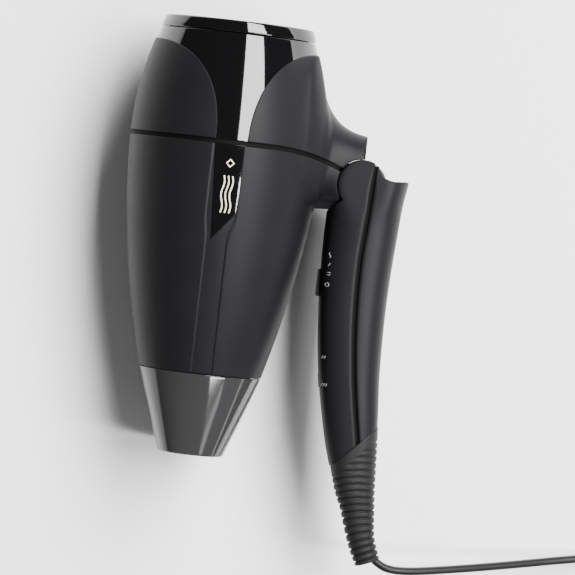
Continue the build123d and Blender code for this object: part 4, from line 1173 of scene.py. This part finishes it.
def makeSeamStrip():
    # A band a little below both halves along the channel, over the top, and down to the slot.
    line = gripLine("channel", -21.5, 91.6, 90)
    along = np.gradient(line, axis=0)
    along /= np.linalg.norm(along, axis=1)[:, None]
    normal = np.stack([along[:, 1], -along[:, 0]], axis=1)
    grids = []
    for depth in (0.9, 2.4):
        offsets = np.linspace(-1.2, 1.2, 9)
        xy = line[:, None, :] + normal[:, None, :] * offsets[None, :, None]
        distance = np.linalg.norm(xy - hingePlace, axis=-1)
        z = handleHeight(xy[..., 0], xy[..., 1], distance) - depth
        grids.append(np.concatenate([xy, z[..., None]], axis=-1))
    skins = [closedShell(grids[0] * (1, 1, sign), grids[1] * (1, 1, sign), False) for sign in (1, -1)]
    # The band wears the darker matt ABS, whose colour is painted shade in the channel.
    recalculated(newMesh("handle_seam_band", *joined(skins), grooveShadeAbs, "handle", slot="trim_black",
                         replaced=("handle_seam_strip",)))


handleSkin("handle_inner_moulding", "handle_inner_half", -1)
handleSkin("handle_outer_moulding", "handle_outer_half", 1)
makeSeamStrip()


def makeHandleMarks():
    # Plain marks beside the switch and the voltage selector: a small airflow, bars and rings.
    def place(flat, height):
        # z from handleHeight, on the handle's upper face.
        distance = np.linalg.norm(flat - hingePlace, axis=-1)
        z = handleHeight(flat[..., 0], flat[..., 1], distance) + height
        return np.concatenate([flat, z[..., None]], axis=-1)
    strokes = [ringStroke(47.6, 41.6, 0.75), barStroke(46.9, 45.6, 48.4, 45.6),
               barStroke(46.9, 46.6, 48.4, 46.6), barStroke(47.2, 49.2, 47.9, 50.4),
               waveStroke(47.4, 52.6, 2.2, 0.35)]
    strokes += [barStroke(49.0 + 0.9 * k, 11.4, 49.5 + 0.9 * k, 12.6) for k in range(2)]
    strokes += [barStroke(50.0 + 0.9 * k, 0.2, 50.5 + 0.9 * k, 1.4) for k in range(3)]
    raisedMark("handle_control_marks", strokes, place, "handle", greyInk, 0.16)


makeHandleMarks()
print("handle done")

boot = {
    # share of the length, x, y
    "left": [(0.0, 57.5, -32.0), (0.15, 60.2, -41.2), (0.4, 63.8, -49.8), (0.6, 66.4, -57.8),
             (0.8, 69.4, -65.7), (1.0, 72.7, -72.3)],
    "right": [(0.0, 75.4, -13.8), (0.15, 76.2, -24.5), (0.4, 77.2, -40.5), (0.6, 78.1, -49.5),
              (0.8, 79.3, -59.5), (1.0, 82.4, -68.1)],
    "halfDepth": [(0.0, 11.6), (0.15, 10.6), (0.4, 8.8), (0.6, 7.6), (0.8, 6.4), (1.0, 5.6)],
    "pitch": 2.83,
    "grooveDepth": 0.95,
    "firstRib": 4.0,          # smooth skirt below the handle's seam
}


def makeBoot():
    # Rings from the slanted seam to the flex; grooves cut by a sharpened cosine of the distance along.
    share = np.linspace(0, 1, 420)
    left = through(boot["left"], share)
    right = through(boot["right"], share)
    depth = through(boot["halfDepth"], share)[:, 0]
    middle = (left + right) / 2
    way = right - left
    half = np.linalg.norm(way, axis=1) / 2
    way /= np.linalg.norm(way, axis=1)[:, None]
    u, v = superCorner(np.linspace(0, 2 * math.pi, 96, endpoint=False), 2.6 - 0.4 * share[:, None])
    u = half[:, None] * u
    v = depth[:, None] * v
    x = middle[:, None, 0] + way[:, None, 0] * u
    y = middle[:, None, 1] + way[:, None, 1] * u
    ring = y - (0.165 + 0.28 * smoothStep(-50.0, -70.0, y)) * (x - 78.0)
    seamY = seamLow[1] + (x - seamLow[0]) * (seamHigh[1] - seamLow[1]) / (seamHigh[0] - seamLow[0])
    below = (seamY - y) * math.cos(math.radians(46))
    groove = (0.5 + 0.5 * np.cos(ring / boot["pitch"] * 2 * math.pi)) ** 4.5
    reach = smoothStep(boot["firstRib"] - 1.2, boot["firstRib"] + 1.2, below)
    reach = reach * smoothStep(1.0, 0.985, share)[:, None]
    cut = boot["grooveDepth"] * groove * reach
    sizeU = 1 - cut / half[:, None]
    sizeV = 1 - cut / depth[:, None]
    end = rounding(np.abs(1 - share)[:, None] * 45, 1.2)
    start = rounding(share[:, None] * 20, 0.4)
    sizeU = sizeU - (end + start) / half[:, None]
    sizeV = sizeV - (end + start) / depth[:, None]
    grid = np.stack([middle[:, None, 0] + way[:, None, 0] * u * sizeU,
                     middle[:, None, 1] + way[:, None, 1] * u * sizeU, v * sizeV], axis=-1)
    points, faces = cappedTube(grid)
    recalculated(newMesh("bend_relief_sleeve", points, faces, mouldedTpe, "handle", slot="boot_rubber",
                         replaced=("bend_relief_boot",)))


makeBoot()
print("boot done")

finishOf = {
    "trim_black": satinAbs,
    "filter_mesh": filterCloth,
    "heat_nylon": glassNylon,
    "fan_plastic": glassNylon,
    "mica": micaSheet,
    "heating_wire": nichromeWire,
    "steel": zincSteel,
    "bronze": sinteredBronze,
    "sleeve_rubber": mouldedTpe,
    "boot_rubber": mouldedTpe,
    "flex_pvc": extrudedPvc,
    "circuit_board": solderMask,
    "component_dark": epoxyBlack,
    "component_yellow": filmYellow,
    "wire_insulation": redSilicone,
    "gloss_black": polishedAbs,
    "soft_touch_charcoal": softTouchCoat,
    "nozzle_gloss": polishedPps,
    "tie_fabric": loopFabric,
    "plug_black": mouldedTpe,
    "nickel_brass": nickelPlate,
}
for part in frame["record"]["subparts"]:
    mesh = frame["nodes"][part["node"]].data
    mesh.materials.clear()
    mesh.materials.append(finishOf[part["material_slot"]])
print("CAD nodes dressed")

light = {
    "world": 0.1,
    "floor": "#f4f4f4",
    "height": 2500.0,
    # each softbox: degrees from straight up, towards x and towards y, that it spans, and its radiance
    "boxes": {
        "key_softbox": ((14, 42), (0, 50), 34.0),
        "nozzle_softbox": ((22, 50), (-12.5, -7), 70.0),
        "nozzle_low_softbox": ((22, 50), (-19, -16), 7.0),
        "front_fill": ((-40, 60), (-58, -30), 0.5),
    },
}


def addSoftbox(name, place, size, radiance):
    # An area light: its power is radiance x pi x area.
    data = bpy.data.lights.new(name, "AREA")
    data.shape = "RECTANGLE"
    data.size = size[0] / 1000
    data.size_y = size[1] / 1000
    data.energy = radiance * math.pi * data.size * data.size_y
    obj = bpy.data.objects.new(name, data)
    bpy.context.collection.objects.link(obj)
    obj.location = Vector(toMetres(place))


def makeLights():
    # A dim even world, and softboxes that face straight down: each edge stands at height x tan(its angle).
    world = bpy.data.worlds.new("studio")
    bpy.context.scene.world = world
    world.use_nodes = True
    background = world.node_tree.nodes["Background"]
    background.inputs["Color"].default_value = (1, 1, 1, 1)
    background.inputs["Strength"].default_value = light["world"]
    high = light["height"]
    for name, (spanX, spanY, radiance) in light["boxes"].items():
        x = [high * math.tan(math.radians(a)) for a in spanX]
        y = [high * math.tan(math.radians(a)) for a in spanY]
        middle = ((x[0] + x[1]) / 2, 60 + (y[0] + y[1]) / 2, high)
        addSoftbox(name, middle, (x[1] - x[0], y[1] - y[0]), radiance)


def makeFloor():
    # A flat square, 8 m across.
    mesh = bpy.data.meshes.new("floor")
    half = 4.0
    corners = [(-half, -half, 0), (half, -half, 0), (half, half, 0), (-half, half, 0)]
    mesh.from_pydata(corners, [], [(0, 1, 2, 3)])
    obj = bpy.data.objects.new("floor", mesh)
    bpy.context.collection.objects.link(obj)
    # Matt white backdrop paper: even and without shine.
    paper = {"Roughness": 0.9, "Base Color": linear(light["floor"])}
    mesh.materials.append(newMaterial("matt_white_paper", paper)[0])


makeLights()
makeFloor()
print("lights and floor done")
